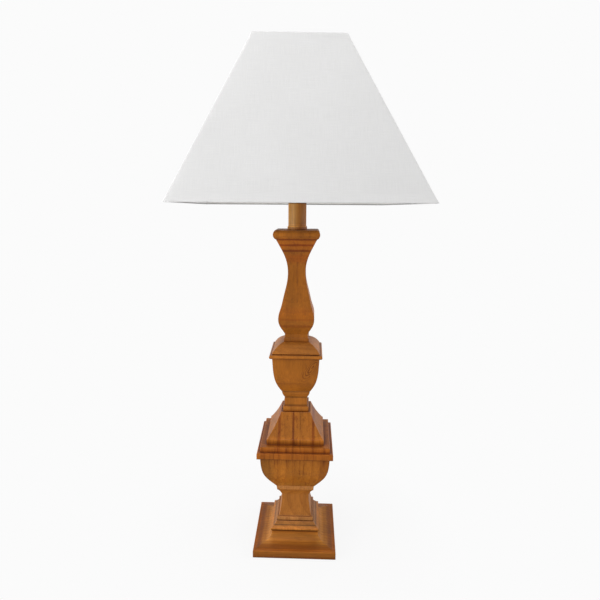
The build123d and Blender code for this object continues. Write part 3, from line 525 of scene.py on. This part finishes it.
# Each level is drawn in to a slope behind the edge or, higher up, to the round hollow.
for vert in hollowed.verts:
    reach = max(abs(vert.co.x), abs(vert.co.y))
    if reach < riser_half + hair or not ledge_low + hair < vert.co.z < cove_high - hair:
        continue
    if vert.co.z < cove_low:
        rise = (vert.co.z - ledge_low) / (cove_low - ledge_low)
        wanted = ledge_half + rise * (riser_half + cove_reach - ledge_half)
    else:
        down = (cove_high - vert.co.z) / (cove_high - cove_low)
        curve = (1 - down**cove_roundness) ** (1 / cove_roundness)
        wanted = riser_half + cove_reach * (1 - curve)
    vert.co.x *= min(wanted, reach) / reach
    vert.co.y *= min(wanted, reach) / reach
hollowed.to_mesh(slab_mesh)
if "custom_normal" in slab_mesh.attributes:
    slab_mesh.attributes.remove(slab_mesh.attributes["custom_normal"])
slab_mesh.materials.clear()
slab_mesh.set_sharp_from_angle(angle=math.radians(30))
coved_slab = new_piece("coved_slab", slab_mesh, "column", base_timber)
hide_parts("base_slab")


# ---------------------------------------------------------------- pedestal
# A narrower block, moulded in steps: a sloped plinth panel, a dark groove, a rounded foot, a long
# hollow sweep and a collar. Its grain stands upright.
def dress(finish, *names):
    """Give CAD nodes their finish."""
    for name in names:
        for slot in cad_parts[name].material_slots:
            slot.material = finish


pedestal_timber = timber(
    "pedestal timber",
    pith=(0.090, 0.240),
    ring_gap=0.0070,
    mid=(0.355, 0.126, 0.019),
    late=(0.190, 0.052, 0.006),
    depth=0.35,
    streaks=0.3,
    lines=(
        ("Z", 0.0294, 0.0014, 0.30, 0.0003),  # painted shadow line at the joint with the base
        ("Z", 0.0329, 0.0026, 1.40, 0.0002),  # painted highlight on the plinth's upper corner
        ("Z", 0.0358, 0.0008, 0.50, 0.0003),  # fine line on the panel
        ("Z", 0.0372, 0.0040, (0.86, 0.91, 1.00, 1), 0.0004),  # sloped panel
        ("Z", 0.0440, 0.0050, (1.10, 1.30, 2.30, 1), 0.0004),  # painted highlight on the rounded foot
        ("Z", 0.0958, 0.0050, (1.22, 1.38, 2.20, 1), 0.0004),  # painted highlight on the collar
    ),
)
dress(pedestal_timber, "pedestal")

# ---------------------------------------------------------------- lower bowl and lower cover
# Both are glued up from upright staves before they are moulded. The glue joints show as fine dark
# lines that run down the front of the hollow roof and on into the bowl.
stain_late = (0.150, 0.036, 0.003)
stave_timber = timber(
    "stave timber",
    pith=(0.230, 0.015),
    ring_gap=0.0120,
    mid=stain_mid,
    late=stain_late,
    depth=0.30,
    streaks=0.75,
    lines=(
        ("X", -0.0030, 0.0020, (0.50, 0.36, 0.28, 1), 0.0016, 0.160, 0.180, 0.25, 1.0),  # glue joint
        ("X", -0.0235, 0.0030, (0.66, 0.50, 0.40, 1), 0.0022, 0.160, 0.180, 0.15, 1.0),  # glue joint
        ("X", 0.0258, 0.0030, (0.62, 0.46, 0.36, 1), 0.0022, 0.160, 0.180, 0.15, 1.0),  # glue joint
        ("X", -0.0440, 0.0140, (0.74, 0.78, 0.82, 1), 0.0020, 0.152, 0.158, 1.0, 0.0),  # bowl, left
        ("X", 0.0440, 0.0140, (0.70, 0.64, 0.58, 1), 0.0020, 0.152, 0.158, 1.0, 0.0),  # bowl, right
        ("X", 0.0072, 0.0016, 0.80, 0.0022, 0.160, 0.180, 0.20, 1.0),  # faint streak
        ("Z", 0.1800, 0.0040, 1.22, 0.0004),  # roof, foot
        ("Z", 0.1600, 0.0070, (0.99, 0.87, 0.70, 1), 0.0004),  # cover, edge
        ("Z", 0.1680, 0.0060, (1.10, 0.98, 0.90, 1), 0.0004),  # cover, second band
        ("Z", 0.1280, 0.0240, (1.11, 1.14, 1.05, 1), 0.0004),  # bowl, middle
        ("Z", 0.1010, 0.0090, (1.04, 1.14, 1.50, 1), 0.0004),  # bowl, foot
        ("Z", 0.1546, 0.0018, 0.45, 0.0003),  # painted shadow line under the cover
    ),
    sheen=0.12,
)
dress(stave_timber, "lower_bowl", "lower_cover")

# ---------------------------------------------------------------- cup stem, upper cup and cover
# Three smaller blocks of stained timber: a stepped stem with a bead, a plain cup with a knot's
# swirl high on its right, and a domed cover with a half-round rim. Stub tenons join them.
cup_timber = timber(
    "cup timber",
    pith=(0.0, 0.300),
    ring_gap=0.0110,
    mid=(0.312, 0.099, 0.008),
    late=(0.140, 0.034, 0.003),
    depth=0.30,
    streaks=0.25,
    knot=(0.024, 0.287, 0.017),
)
stem_timber = timber(
    "stem timber",
    pith=(0.020, 0.275),
    ring_gap=0.0050,
    mid=stain_mid,
    late=(0.170, 0.044, 0.004),
    depth=0.3,
    streaks=0.3,
    lines=(
        ("Z", 0.3125, 0.0100, (1.18, 1.26, 1.80, 1), 0.0004),  # dome, with a painted sheen
        ("Z", 0.3056, 0.0012, 1.35, 0.0002),  # quirk over the rim, lightened against the painted hollow shade
        ("Z", 0.3026, 0.0020, 1.18, 0.0002),  # painted highlight on the rim's middle
        ("Z", 0.3000, 0.0012, 0.72, 0.0002),  # painted shade under the rim
        ("Z", 0.2452, 0.0016, 0.66, 0.0003),  # bead, top
        ("Z", 0.2352, 0.0018, 0.58, 0.0003),  # under the bead
        ("Z", 0.2232, 0.0016, 0.66, 0.0003),  # short stem, foot
        ("Z", 0.2172, 0.0060, (1.18, 1.24, 1.40, 1), 0.0003),  # step
        ("Z", 0.2144, 0.0012, 1.35, 0.0002),  # step, lower corner
    ),
)
dress(cup_timber, "upper_cup")
dress(stem_timber, "cup_stem", "upper_cover")

# ---------------------------------------------------------------- vase baluster and capital
# The tall vase and the half-round block on top of it are cut from one upright post. Where the
# flare cuts across the rings they show as level dark bands.
vase_timber = timber(
    "vase timber",
    pith=(0.0, 0.2793),
    ring_gap=0.0041,
    mid=(0.290, 0.092, 0.008),
    late=(0.120, 0.027, 0.003),
    depth=0.14,
    streaks=0.45,
    lines=(
        ("Z", 0.3440, 0.0030, (0.86, 0.76, 0.70, 1), 0.0016),  # belly, lower band
        ("Z", 0.3540, 0.0022, (0.88, 0.80, 0.74, 1), 0.0030),  # belly, middle band
        ("Z", 0.3620, 0.0120, (1.12, 1.03, 0.95, 1), 0.0040),  # belly, upper part
        ("Z", 0.4600, 0.0110, (1.20, 1.06, 0.88, 1), 0.0010),  # flare, upper part
        ("Z", 0.4400, 0.0090, (1.00, 0.83, 0.74, 1), 0.0030),  # flare, foot
        ("Z", 0.4592, 0.0019, (0.62, 0.45, 0.35, 1), 0.0018),  # flare, upper band
        ("Z", 0.4512, 0.0022, (0.55, 0.38, 0.28, 1), 0.0022),  # flare, lower band
        ("Z", 0.4670, 0.0018, (0.60, 0.45, 0.35, 1), 0.0008),  # painted shadow line under the capital
        ("Z", 0.4745, 0.0040, (1.32, 1.34, 1.42, 1), 0.0008),  # painted highlight on the capital's middle
    ),
)
dress(vase_timber, "vase_baluster", "capital")

# ---------------------------------------------------------------- neck sleeve
# A sleeve of paler wood, turned on a lathe and bored for the pipe. Its grain is fine and upright,
# and a low ring is left at its foot, where it meets the capital.
neck_timber = timber(
    "neck timber",
    pith=(0.050, 0.220),
    ring_gap=0.0050,
    mid=(0.420, 0.150, 0.019),
    late=(0.250, 0.076, 0.008),
    depth=0.3,
    streaks=0.35,
    lines=(
        ("X", -0.0082, 0.0110, (1.42, 1.85, 2.70, 1), 0.0004),  # painted highlight down the left side
        ("X", 0.0062, 0.0060, 0.86, 0.0004),  # painted shade down the right side
        ("Z", 0.4818, 0.0062, 1.65, 0.0003),  # ring
        ("Z", 0.4825, 0.0009, 0.60, 0.0003),  # fine line on the ring
        ("Z", 0.4850, 0.0007, 0.70, 0.0003),  # ring, upper edge
        ("Z", 0.5170, 0.0026, 0.35, 0.0003),  # painted shade of the lamp shade, under the check ring
    ),
    sheen=0.30,
)
dress(neck_timber, "neck_sleeve")


# ---------------------------------------------------------------- pipe, nut, washers and bushing
# Rolled and plated steel hardware that clamps the column, and a dark moulded bushing at the back
# of the base. The pipe's thread is drawn as fine level ridges.
def plated(name, base, rough, ridge_gap=None, grind=(600, 600, 600)):
    """Plated or polished metal with fine scratches, and ridges along z if a gap is given."""
    finish, tree, surface = new_finish(name)
    place = own_place(tree)
    scratches = speckle(tree, place, grind, 4.0, 0.7)
    dull = speckle(tree, place, (70, 70, 70), 3.0, 0.6)
    dull_share = graded(tree, dull, (0.42, 0.0), (0.75, 0.55))
    darker = tuple(0.72 * part for part in base)
    smoothest = max(0.05, rough - 0.08)
    roughest = min(1.0, rough + 0.12)
    put(
        tree,
        surface,
        Base_Color=tint(tree, dull_share, (*base, 1), (*darker, 1)),
        Metallic=1.0,
        Roughness=graded(tree, scratches, (0.3, smoothest), (0.7, roughest)),
    )
    height = reckon(tree, "MULTIPLY", scratches, 0.12)
    if ridge_gap:
        ridges = lay(
            tree,
            "ShaderNodeTexWave",
            {"Vector": place, "Scale": math.pi / 10 / ridge_gap},
            wave_type="BANDS",
            bands_direction="Z",
            wave_profile="TRI",
        ).outputs["Fac"]
        height = reckon(tree, "ADD", height, ridges)
    put(tree, surface, Normal=relief(tree, height, 0.0004 if ridge_gap else 0.0001, 0.6))
    return finish


def moulded(name, base, rough):
    """A dark moulding with a fine grained skin."""
    finish, tree, surface = new_finish(name)
    place = own_place(tree)
    skin = speckle(tree, place, (1800, 1800, 1800), 2.0)
    flow = speckle(tree, place, (120, 120, 40), 2.0)
    flow_share = graded(tree, flow, (0.4, 0.0), (0.7, 0.6))
    lighter = tuple(min(1.0, 1.5 * part) for part in base)
    put(
        tree,
        surface,
        Base_Color=tint(tree, flow_share, (*base, 1), (*lighter, 1)),
        Roughness=graded(tree, skin, (0.3, rough - 0.06), (0.7, rough + 0.1)),
        Normal=relief(tree, skin, 0.00006, 0.5),
    )
    return finish


pipe_steel = plated("threaded pipe steel", (0.55, 0.56, 0.57), 0.38, ridge_gap=0.00094)
zinc_plate = plated("zinc plate", (0.62, 0.63, 0.64), 0.34)
dark_moulding = moulded("dark moulding", (0.020, 0.014, 0.011), 0.36)
dress(pipe_steel, "lamp_pipe")
dress(zinc_plate, "base_washer", "lock_washer", "base_nut", "switch_shaft")
dress(dark_moulding, "cord_bushing", "socket_mechanism")

# ---------------------------------------------------------------- lamp holder
# A spun brass shell pushed into a domed brass cap, with a card liner and a dark porcelain-like
# block inside. Small pressed beads run round the cap's skirt.
holder_brass = plated("holder brass", (0.80, 0.60, 0.30), 0.27, grind=(240, 240, 1900))
contact_brass = plated("contact brass", (0.86, 0.66, 0.36), 0.22)
dress(holder_brass, "socket_cap", "socket_shell", "check_ring")
dress(contact_brass, "centre_contact", "terminal_screws")

liner_card, tree, surface = new_finish("liner card")
place = own_place(tree)
pulp = speckle(tree, place, (500, 500, 1500), 4.0, 0.7)
put(
    tree,
    surface,
    Base_Color=tint(
        tree,
        graded(tree, pulp, (0.35, 0.0), (0.65, 1.0)),
        (0.42, 0.30, 0.18, 1),
        (0.56, 0.43, 0.28, 1),
    ),
    Roughness=0.9,
    Normal=relief(tree, pulp, 0.0001, 0.6),
)
dress(liner_card, "socket_liner")


def grown(name, inputs, build, body, finish):
    """Grow a piece with Geometry Nodes from named inputs, and keep its plain mesh."""
    group = bpy.data.node_groups.new(name, "GeometryNodeTree")
    group.interface.new_socket("Geometry", in_out="OUTPUT", socket_type="NodeSocketGeometry")
    for key, value in inputs.items():
        kind = "NodeSocketInt" if isinstance(value, int) else "NodeSocketFloat"
        group.interface.new_socket(key, in_out="INPUT", socket_type=kind)
    sizes = lay(group, "NodeGroupInput").outputs
    shape = build(group, sizes)
    whole = lay(group, "GeometryNodeRealizeInstances", {0: shape}).outputs[0]
    painted = lay(group, "GeometryNodeSetMaterial", {0: whole, "Material": finish}).outputs[0]
    smooth = lay(group, "GeometryNodeSetShadeSmooth", {0: painted}).outputs[0]
    lay(group, "NodeGroupOutput", {0: smooth})
    holder = bpy.data.objects.new(name, bpy.data.meshes.new(name))
    bpy.context.collection.objects.link(holder)
    grower = holder.modifiers.new("grower", "NODES")
    grower.node_group = group
    for item in group.interface.items_tree:
        if item.in_out == "INPUT":
            grower[item.identifier] = inputs[item.name]
    grown_mesh = bpy.data.meshes.new_from_object(
        holder.evaluated_get(bpy.context.evaluated_depsgraph_get())
    )
    bpy.data.objects.remove(holder)
    return new_piece(name, grown_mesh, body)


def beads_round(group, sizes):
    """Small round beads on a level ring."""
    ring = lay(
        group, "GeometryNodeMeshCircle", {"Vertices": sizes["Count"], "Radius": sizes["Radius"]}
    ).outputs[0]
    lifted = lay(group, "ShaderNodeCombineXYZ", {2: sizes["Height"]}).outputs[0]
    turned = lay(group, "ShaderNodeCombineXYZ", {2: sizes["Turn"]}).outputs[0]
    raised = lay(
        group,
        "GeometryNodeTransform",
        {"Geometry": ring, "Translation": lifted, "Rotation": turned},
    ).outputs[0]
    bead = lay(
        group, "GeometryNodeMeshIcoSphere", {"Radius": sizes["Bead"], "Subdivisions": 2}
    ).outputs[0]
    return lay(
        group, "GeometryNodeInstanceOnPoints", {"Points": raised, "Instance": bead}
    ).outputs[0]


cap_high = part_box("socket_cap")[1]
pressed_beads = grown(
    "pressed_beads",
    {
        "Count": 52,
        "Radius": cap_high.x - 0.0002,
        "Height": cap_high.z - 0.0022,
        "Turn": 0.0,
        "Bead": 0.00075,
    },
    beads_round,
    "column",
    holder_brass,
)

# ---------------------------------------------------------------- holder and bulb threads
# The holder's screw shell and the bulb's cap are rolled from thin sheet with the same coarse
# round thread, so they are made here with the real ripple and replace the plain ones.
thread_pitch = 0.00363
points_round = 96
row_gap = 0.0004


def rolled_shell(name, wall, thread_from, thread_to, ripple):
    """A closed shell turned from (radius, height) pairs, with a thread between two heights."""
    shell = bmesh.new()
    rows = []
    for radius, height in wall:
        row = []
        for count in range(points_round):
            angle = 2 * math.pi * count / points_round
            swell = 0.0
            if thread_from < height < thread_to:
                ends = min(height - thread_from, thread_to - height) / thread_pitch
                swell = ripple * min(1.0, 2 * ends)
                swell *= math.cos(2 * math.pi * height / thread_pitch - angle)
            reach = max(radius + swell, 0.0)
            point = (reach * math.cos(angle), reach * math.sin(angle), height)
            row.append(shell.verts.new(point))
        rows.append(row)
    for lower, upper in zip(rows, rows[1:] + rows[:1]):
        for count in range(points_round):
            after = (count + 1) % points_round
            shell.faces.new((lower[count], lower[after], upper[after], upper[count]))
    bmesh.ops.remove_doubles(shell, verts=shell.verts, dist=1e-7)
    bmesh.ops.recalc_face_normals(shell, faces=shell.faces)
    for face in shell.faces:
        face.smooth = True
    mesh = bpy.data.meshes.new(name)
    shell.to_mesh(mesh)
    return mesh


screw_low, screw_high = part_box("screw_shell")
screw_inner = 0.01365
screw_wall = 0.0004
screw_hole = 0.0055
screw_floor = 0.0006
screw_inner_foot = 0.0008
screw_rise = [
    (screw_inner + screw_wall, screw_low.z + row_gap * step)
    for step in range(int((screw_high.z - screw_low.z) / row_gap) + 1)
]
screw_fall = [
    (screw_inner, height)
    for _, height in reversed(screw_rise)
    if height > screw_low.z + screw_inner_foot
]
holder_thread = new_piece(
    "holder_thread",
    rolled_shell(
        "holder_thread",
        [
            (screw_hole, screw_low.z),
            *screw_rise,
            *screw_fall,
            (screw_hole, screw_low.z + screw_floor),
        ],
        thread_from=screw_low.z + 0.002,
        thread_to=screw_high.z - 0.001,
        ripple=0.00025,
    ),
    "column",
    contact_brass,
)
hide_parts("screw_shell")

bulb_cap_low, bulb_cap_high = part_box("bulb_screw_cap")
bulb_cap_outer = 0.0127
bulb_cap_inner = 0.0124
bulb_cap_floor_radius = 0.0105
bulb_cap_floor = 0.0024
bulb_cap_inner_foot = 0.0026
bulb_cap_shoulder = 0.0018
bulb_tin = plated("bulb cap tin", (0.80, 0.80, 0.79), 0.24, grind=(300, 300, 1500))
cap_rise = [
    (bulb_cap_outer, bulb_cap_low.z + bulb_cap_shoulder + row_gap * step)
    for step in range(int((bulb_cap_high.z - bulb_cap_low.z - bulb_cap_shoulder) / row_gap) + 1)
]
cap_fall = [
    (bulb_cap_inner, height)
    for _, height in reversed(cap_rise)
    if height > bulb_cap_low.z + bulb_cap_inner_foot
]
bulb_thread = new_piece(
    "bulb_thread",
    rolled_shell(
        "bulb_thread",
        [
            (0.0, bulb_cap_low.z),
            (bulb_cap_floor_radius, bulb_cap_low.z),
            *cap_rise,
            *cap_fall,
            (0.0, bulb_cap_low.z + bulb_cap_floor),
        ],
        thread_from=bulb_cap_low.z + 0.002,
        thread_to=bulb_cap_high.z - 0.003,
        ripple=0.00028,
    ),
    "bulb",
    bulb_tin,
)
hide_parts("bulb_screw_cap")
dress(bulb_tin, "bulb_contact")

# ---------------------------------------------------------------- turn switch
# A ribbed knob, moulded in one piece and pressed on a plated shaft. The shaft comes out of the
# front of the lamp holder.
knob_moulding = moulded("knob moulding", (0.030, 0.022, 0.016), 0.30)
dress(knob_moulding, "switch_knob")

# ---------------------------------------------------------------- harp, saddle, ferrules and stud
# Bent brass-plated wire with a swivel stud at its top. Two short tubes lock its legs to the
# saddle's ears. The stud's thread is a fine ridge wound round it.
harp_plate = plated("harp plate", (0.78, 0.60, 0.32), 0.24)
dress(harp_plate, "harp", "harp_saddle", "ferrule_left", "ferrule_right", "harp_stud")


def wound_ridge(group, sizes):
    """A fine ridge wound in a helix."""
    line = lay(
        group,
        "GeometryNodeCurveSpiral",
        {
            "Resolution": 24,
            "Rotations": sizes["Turns"],
            "Start Radius": sizes["Radius"],
            "End Radius": sizes["Radius"],
            "Height": sizes["Length"],
        },
    ).outputs[0]
    lifted = lay(group, "ShaderNodeCombineXYZ", {2: sizes["Foot"]}).outputs[0]
    raised = lay(group, "GeometryNodeSetPosition", {0: line, "Offset": lifted}).outputs[0]
    crest = lay(
        group, "GeometryNodeCurvePrimitiveCircle", {"Resolution": 6, "Radius": sizes["Ridge"]}
    ).outputs[0]
    return lay(
        group, "GeometryNodeCurveToMesh", {0: raised, 1: crest, "Fill Caps": True}
    ).outputs[0]


stud_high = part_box("harp_stud")[1]
stud_thread = grown(
    "stud_thread",
    {
        "Turns": 12.0,
        "Radius": 0.00310,
        "Length": 0.0112,
        "Foot": stud_high.z - 0.0116,
        "Ridge": 0.00016,
    },
    wound_ridge,
    "shade",
    harp_plate,
)

# ---------------------------------------------------------------- shade frame
# White-dipped steel wire: two square rings and a spider with four bent arms. A drop of solder
# holds each arm's end to the top ring.
dipped_wire, tree, surface = new_finish("white dipped wire")
place = own_place(tree)
runs = speckle(tree, place, (220, 220, 220), 3.0, 0.6)
put(
    tree,
    surface,
    Base_Color=tint(
        tree,
        graded(tree, runs, (0.55, 0.0), (0.8, 0.7)),
        (0.74, 0.73, 0.70, 1),
        (0.58, 0.54, 0.47, 1),
    ),
    Roughness=graded(tree, runs, (0.3, 0.34), (0.7, 0.5)),
    Normal=relief(tree, runs, 0.0003, 0.4),
)
dress(dipped_wire, "shade_spider", "shade_top_ring", "shade_bottom_ring")

shade_turn = math.radians(3.8)
ring_low, ring_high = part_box("shade_top_ring")
arm_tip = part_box("shade_spider")[1].x
solder_drops = grown(
    "solder_drops",
    {
        "Count": 4,
        "Radius": arm_tip + 0.0004,
        "Height": (ring_low.z + ring_high.z) / 2,
        "Turn": shade_turn,
        "Bead": 0.0019,
    },
    beads_round,
    "shade",
    dipped_wire,
)


# ---------------------------------------------------------------- shade panels
# Plain white cloth bonded to a stiff white lining, stretched flat over each side of the frame.
# The cloth turns softly at the four corners and is very slightly uneven between them. The lining is
# painted darker near its foot, as painted shade.
def woven(name, base, thread_gap, slub):
    """Plain woven cloth drawn on the piece's own map, which is in metres along its threads."""
    finish, tree, surface = new_finish(name)
    cloth = lay(tree, "ShaderNodeUVMap", uv_map="threads").outputs[0]
    along = lay(tree, "ShaderNodeSeparateXYZ", {0: cloth}).outputs
    per_metre = 2 * math.pi / thread_gap
    warp = reckon(tree, "SINE", reckon(tree, "MULTIPLY", along[0], per_metre))
    weft = reckon(tree, "SINE", reckon(tree, "MULTIPLY", along[1], per_metre))
    weave = reckon(tree, "MULTIPLY", warp, weft)
    weave = reckon(tree, "ADD", reckon(tree, "MULTIPLY", weave, 0.5), 0.5)
    thick_weft = speckle(tree, cloth, (45, 1500, 1), 3.0, 0.6)
    thick_warp = speckle(tree, cloth, (1500, 45, 1), 3.0, 0.6)
    uneven = reckon(tree, "MULTIPLY", reckon(tree, "ADD", thick_weft, thick_warp), 0.5)
    patch = speckle(tree, cloth, (14, 11, 1), 3.0, 0.5)
    colour = (*base, 1)
    for pattern, darkest, plain in (
        (uneven, (0.36, 1 - slub), (0.62, 1.0)),
        (weave, (0.0, 0.955), (0.6, 1.0)),
        (patch, (0.3, 0.975), (0.7, 1.0)),
    ):
        colour = tint(tree, 1.0, colour, graded(tree, pattern, darkest, plain), "MULTIPLY")
    height = reckon(tree, "ADD", reckon(tree, "MULTIPLY", weave, 0.45), uneven)
    put(
        tree,
        surface,
        Base_Color=colour,
        Roughness=0.92,
        Sheen_Weight=0.12,
        Sheen_Roughness=0.5,
        Normal=relief(tree, height, 0.00016, 0.5),
    )
    return finish


panel_low, panel_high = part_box("shade_panel_front")
shade_foot = panel_low.z
shade_head = panel_high.z
cloth_white = (0.715, 0.713, 0.710)
cloth_thread_gap = 0.00052
cloth_slub = 0.07
shade_cloth = woven("shade cloth", cloth_white, cloth_thread_gap, cloth_slub)

shade_lining, tree, surface = new_finish("shade lining")
place = own_place(tree)
haze = speckle(tree, place, (30, 30, 30), 3.0)
above_foot = lay(tree, "ShaderNodeSeparateXYZ", {0: place}).outputs["Z"]
above_foot = reckon(tree, "SUBTRACT", above_foot, shade_foot)
lining_white = graded(tree, haze, (0.35, (0.60, 0.60, 0.59, 1)), (0.70, (0.54, 0.54, 0.53, 1)))
# Painted shade: the lining darkens towards its foot.
painted_shade_at_foot = graded(tree, above_foot, (0.006, 0.40), (0.022, 1.0))
put(
    tree,
    surface,
    Base_Color=tint(tree, 1.0, lining_white, painted_shade_at_foot, "MULTIPLY"),
    Roughness=graded(tree, haze, (0.3, 0.42), (0.7, 0.55)),
    Normal=relief(tree, haze, 0.0004, 0.2),
)

foot_half = 0.1517
head_half = 0.0581
laminate = 0.001
shade_slope = (foot_half - head_half) / (shade_head - shade_foot)
shade_slant = math.hypot(1, shade_slope)
corner_ease = 0.00035
corner_steps = (0.0, 0.0004, 0.0009, 0.0016)
panel_rows = 44
panel_columns = 56
drift_depth = 0.00022
calm_edge = 0.012
calm_strip = 0.010


def shade_half(height, inward=0.0):
    """Half the shade's width at a height, that far in from its outer faces."""
    return head_half + shade_slope * (shade_head - height) - inward * shade_slant


def places_across(half, steps):
    """Places from corner to corner of one side, close together where it turns the corner."""
    reach = half - corner_steps[-1]
    places = [-half + step for step in corner_steps]
    places += [-reach + 2 * reach * count / steps for count in range(1, steps)]
    return places + [half - step for step in reversed(corner_steps)]


def place_on_side(height, inward, half, across):
    """A point of the front side. The outer face is drawn in where the cloth turns the corner."""
    ease = 0.0
    if inward <= 0:
        ease = max(0.0, 1 - (half - abs(across)) / corner_steps[-1]) ** 2 * corner_ease
    return Vector((across - math.copysign(ease, across), -half + ease, height))


def side_swing(turns):
    """The turn that takes the front side to one of the four."""
    return Matrix.Rotation(shade_turn + turns * math.pi / 2, 3, "Z")


def cloth_face(sheet, threads, corners, finish=0):
    """One face of cloth or lining. Each corner is a point and its place along the threads."""
    face = sheet.faces.new([corner[0] for corner in corners])
    face.material_index = finish
    face.smooth = True
    for loop, corner in zip(face.loops, corners):
        loop[threads].uv = (corner[1], corner[2])


outward = Vector((0, -1 / shade_slant, shade_slope / shade_slant))
for turns, side in enumerate(("front", "right", "back", "left")):
    swing = side_swing(turns)
    sheet = bmesh.new()
    threads = sheet.loops.layers.uv.new("threads")
    faces_of_cloth = []
    for inward in (0.0, laminate):
        grid = []
        for row in range(panel_rows + 1):
            height = shade_foot + (shade_head - shade_foot) * row / panel_rows
            half = shade_half(height, inward)
            line = []
            for across in places_across(half, panel_columns):
                point = place_on_side(height, inward, half, across)
                to_edge = min(height - shade_foot, shade_head - height)
                calm = min(1.0, (half - abs(across)) / calm_edge)
                calm *= max(0.0, min(1.0, (to_edge - calm_strip) / calm_edge))
                drift = noise.noise(
                    Vector((across * 17 + 9 * turns, height * 13 + 3 * turns, turns * 4.7))
                )
                point += outward * (drift_depth * calm * drift)
                line.append((sheet.verts.new(swing @ point), across, height * shade_slant))
            grid.append(line)
        faces_of_cloth.append(grid)
    outer, inner = faces_of_cloth
    last = len(outer[0]) - 1
    quads = []
    for row in range(panel_rows):
        out_low, out_high = outer[row], outer[row + 1]
        in_low, in_high = inner[row], inner[row + 1]
        for here in range(last):
            after = here + 1
            quads.append(((out_low[here], out_low[after], out_high[after], out_high[here]), 0))
            quads.append(((in_low[after], in_low[here], in_high[here], in_high[after]), 1))
        quads.append(((in_low[0], out_low[0], out_high[0], in_high[0]), 1))
        quads.append(((out_low[last], in_low[last], in_high[last], out_high[last]), 1))
    for here in range(last):
        after = here + 1
        quads.append(((inner[0][here], inner[0][after], outer[0][after], outer[0][here]), 1))
        quads.append(((outer[-1][here], outer[-1][after], inner[-1][after], inner[-1][here]), 1))
    for corners, finish in quads:
        cloth_face(sheet, threads, corners, finish)
    panel_mesh = bpy.data.meshes.new(f"shade_cloth_{side}")
    sheet.to_mesh(panel_mesh)
    panel_piece = new_piece(f"shade_cloth_{side}", panel_mesh, "shade", shade_cloth, shade_lining)
    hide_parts(f"shade_panel_{side}")

# ---------------------------------------------------------------- shade hems
# A strip of the same cloth is glued along the top and bottom edges and folded under them. The
# fold is soft, and the strip's other edge is pressed flat, so that it hardly shows on the panel.
hem_cloth = woven("hem cloth", cloth_white, cloth_thread_gap, cloth_slub)
hem_thick = 0.0004
hem_wide = 0.0095
hem_steps = 40
puff_depth = 0.00006
puff_margin = 0.004


def folded_hem(name, edge, away, replaced):
    """A hem round the shade. away is 1 where the hem's band lies above the edge, and -1 below."""
    profile = [
        (edge + away * hem_wide, 0.0),
        (edge + away * (hem_wide - 0.0030), -0.16 * hem_thick),
        (edge + away * 0.0040, -0.45 * hem_thick),
        (edge + away * 0.0018, -0.75 * hem_thick),
        (edge + away * 0.0002, -hem_thick),
        (edge - away * 0.55 * hem_thick, -0.55 * hem_thick),
        (edge - away * 0.95 * hem_thick, 0.3 * hem_thick),
        (edge - away * hem_thick, 0.5 * laminate),
        (edge - away * 0.6 * hem_thick, laminate),
        (edge, laminate),
        (edge, 0.0),
    ]
    strip = bmesh.new()
    threads = strip.loops.layers.uv.new("threads")
    rings = []
    run = 0.0
    before = profile[0]
    for height, inward in profile:
        run += math.hypot(height - before[0], inward - before[1])
        before = (height, inward)
        half = shade_half(height, inward)
        ring = []
        for turns in range(4):
            swing = side_swing(turns)
            for across in places_across(half, hem_steps)[:-1]:
                point = place_on_side(height, inward, half, across)
                puff = noise.noise(Vector((across * 60 + 7 * turns, height * 40, turns * 2.3)))
                if inward < 0 and half - abs(across) > puff_margin:
                    point.y -= puff_depth * puff
                ring.append((strip.verts.new(swing @ point), across + 0.3 * turns, run))
        rings.append(ring)
    total = len(rings[0])
    for lower, upper in zip(rings, rings[1:] + rings[:1]):
        for count in range(total):
            after = (count + 1) % total
            corners = (lower[count], upper[count], upper[after], lower[after])
            cloth_face(strip, threads, corners)
    for ring in (rings[0], rings[-1]):
        for count in range(total):
            ends = (ring[count][0], ring[(count + 1) % total][0])
            strip.edges.get(ends).smooth = False
    bmesh.ops.recalc_face_normals(strip, faces=strip.faces)
    hem_mesh = bpy.data.meshes.new(name)
    strip.to_mesh(hem_mesh)
    hem = new_piece(name, hem_mesh, "shade", hem_cloth)
    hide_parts(replaced)


folded_hem("shade_hem_bottom", shade_foot, 1, "shade_bottom_trim")
folded_hem("shade_hem_top", shade_head, -1, "shade_top_trim")

# ---------------------------------------------------------------- finial
# A small ball on a neck, turned from brass, polished and lacquered. It screws down on the stud and
# holds the shade.
finial_brass = plated("finial brass", (0.82, 0.61, 0.29), 0.18, grind=(260, 260, 2200))
dress(finial_brass, "finial")

# ---------------------------------------------------------------- bulb
# A blown globe of frosted glass, cemented into a tin cap with a thread. Black glass under the cap
# keeps the contact in its middle apart.
frosted, tree, surface = new_finish("frosted glass")
place = own_place(tree)
frost = speckle(tree, place, (1400, 1400, 1400), 2.0)
milky = speckle(tree, place, (25, 25, 25), 2.0)
put(
    tree,
    surface,
    Base_Color=tint(
        tree,
        graded(tree, milky, (0.3, 0.0), (0.7, 1.0)),
        (0.86, 0.86, 0.84, 1),
        (0.80, 0.80, 0.78, 1),
    ),
    Roughness=graded(tree, frost, (0.3, 0.30), (0.7, 0.42)),
    Transmission_Weight=0.12,
    IOR=1.48,
    Coat_Weight=0.25,
    Coat_Roughness=0.12,
    Normal=relief(tree, frost, 0.00005, 0.3),
)
dress(frosted, "bulb_glass")
black_glass = moulded("black glass", (0.010, 0.010, 0.012), 0.14)
dress(black_glass, "bulb_insulator")
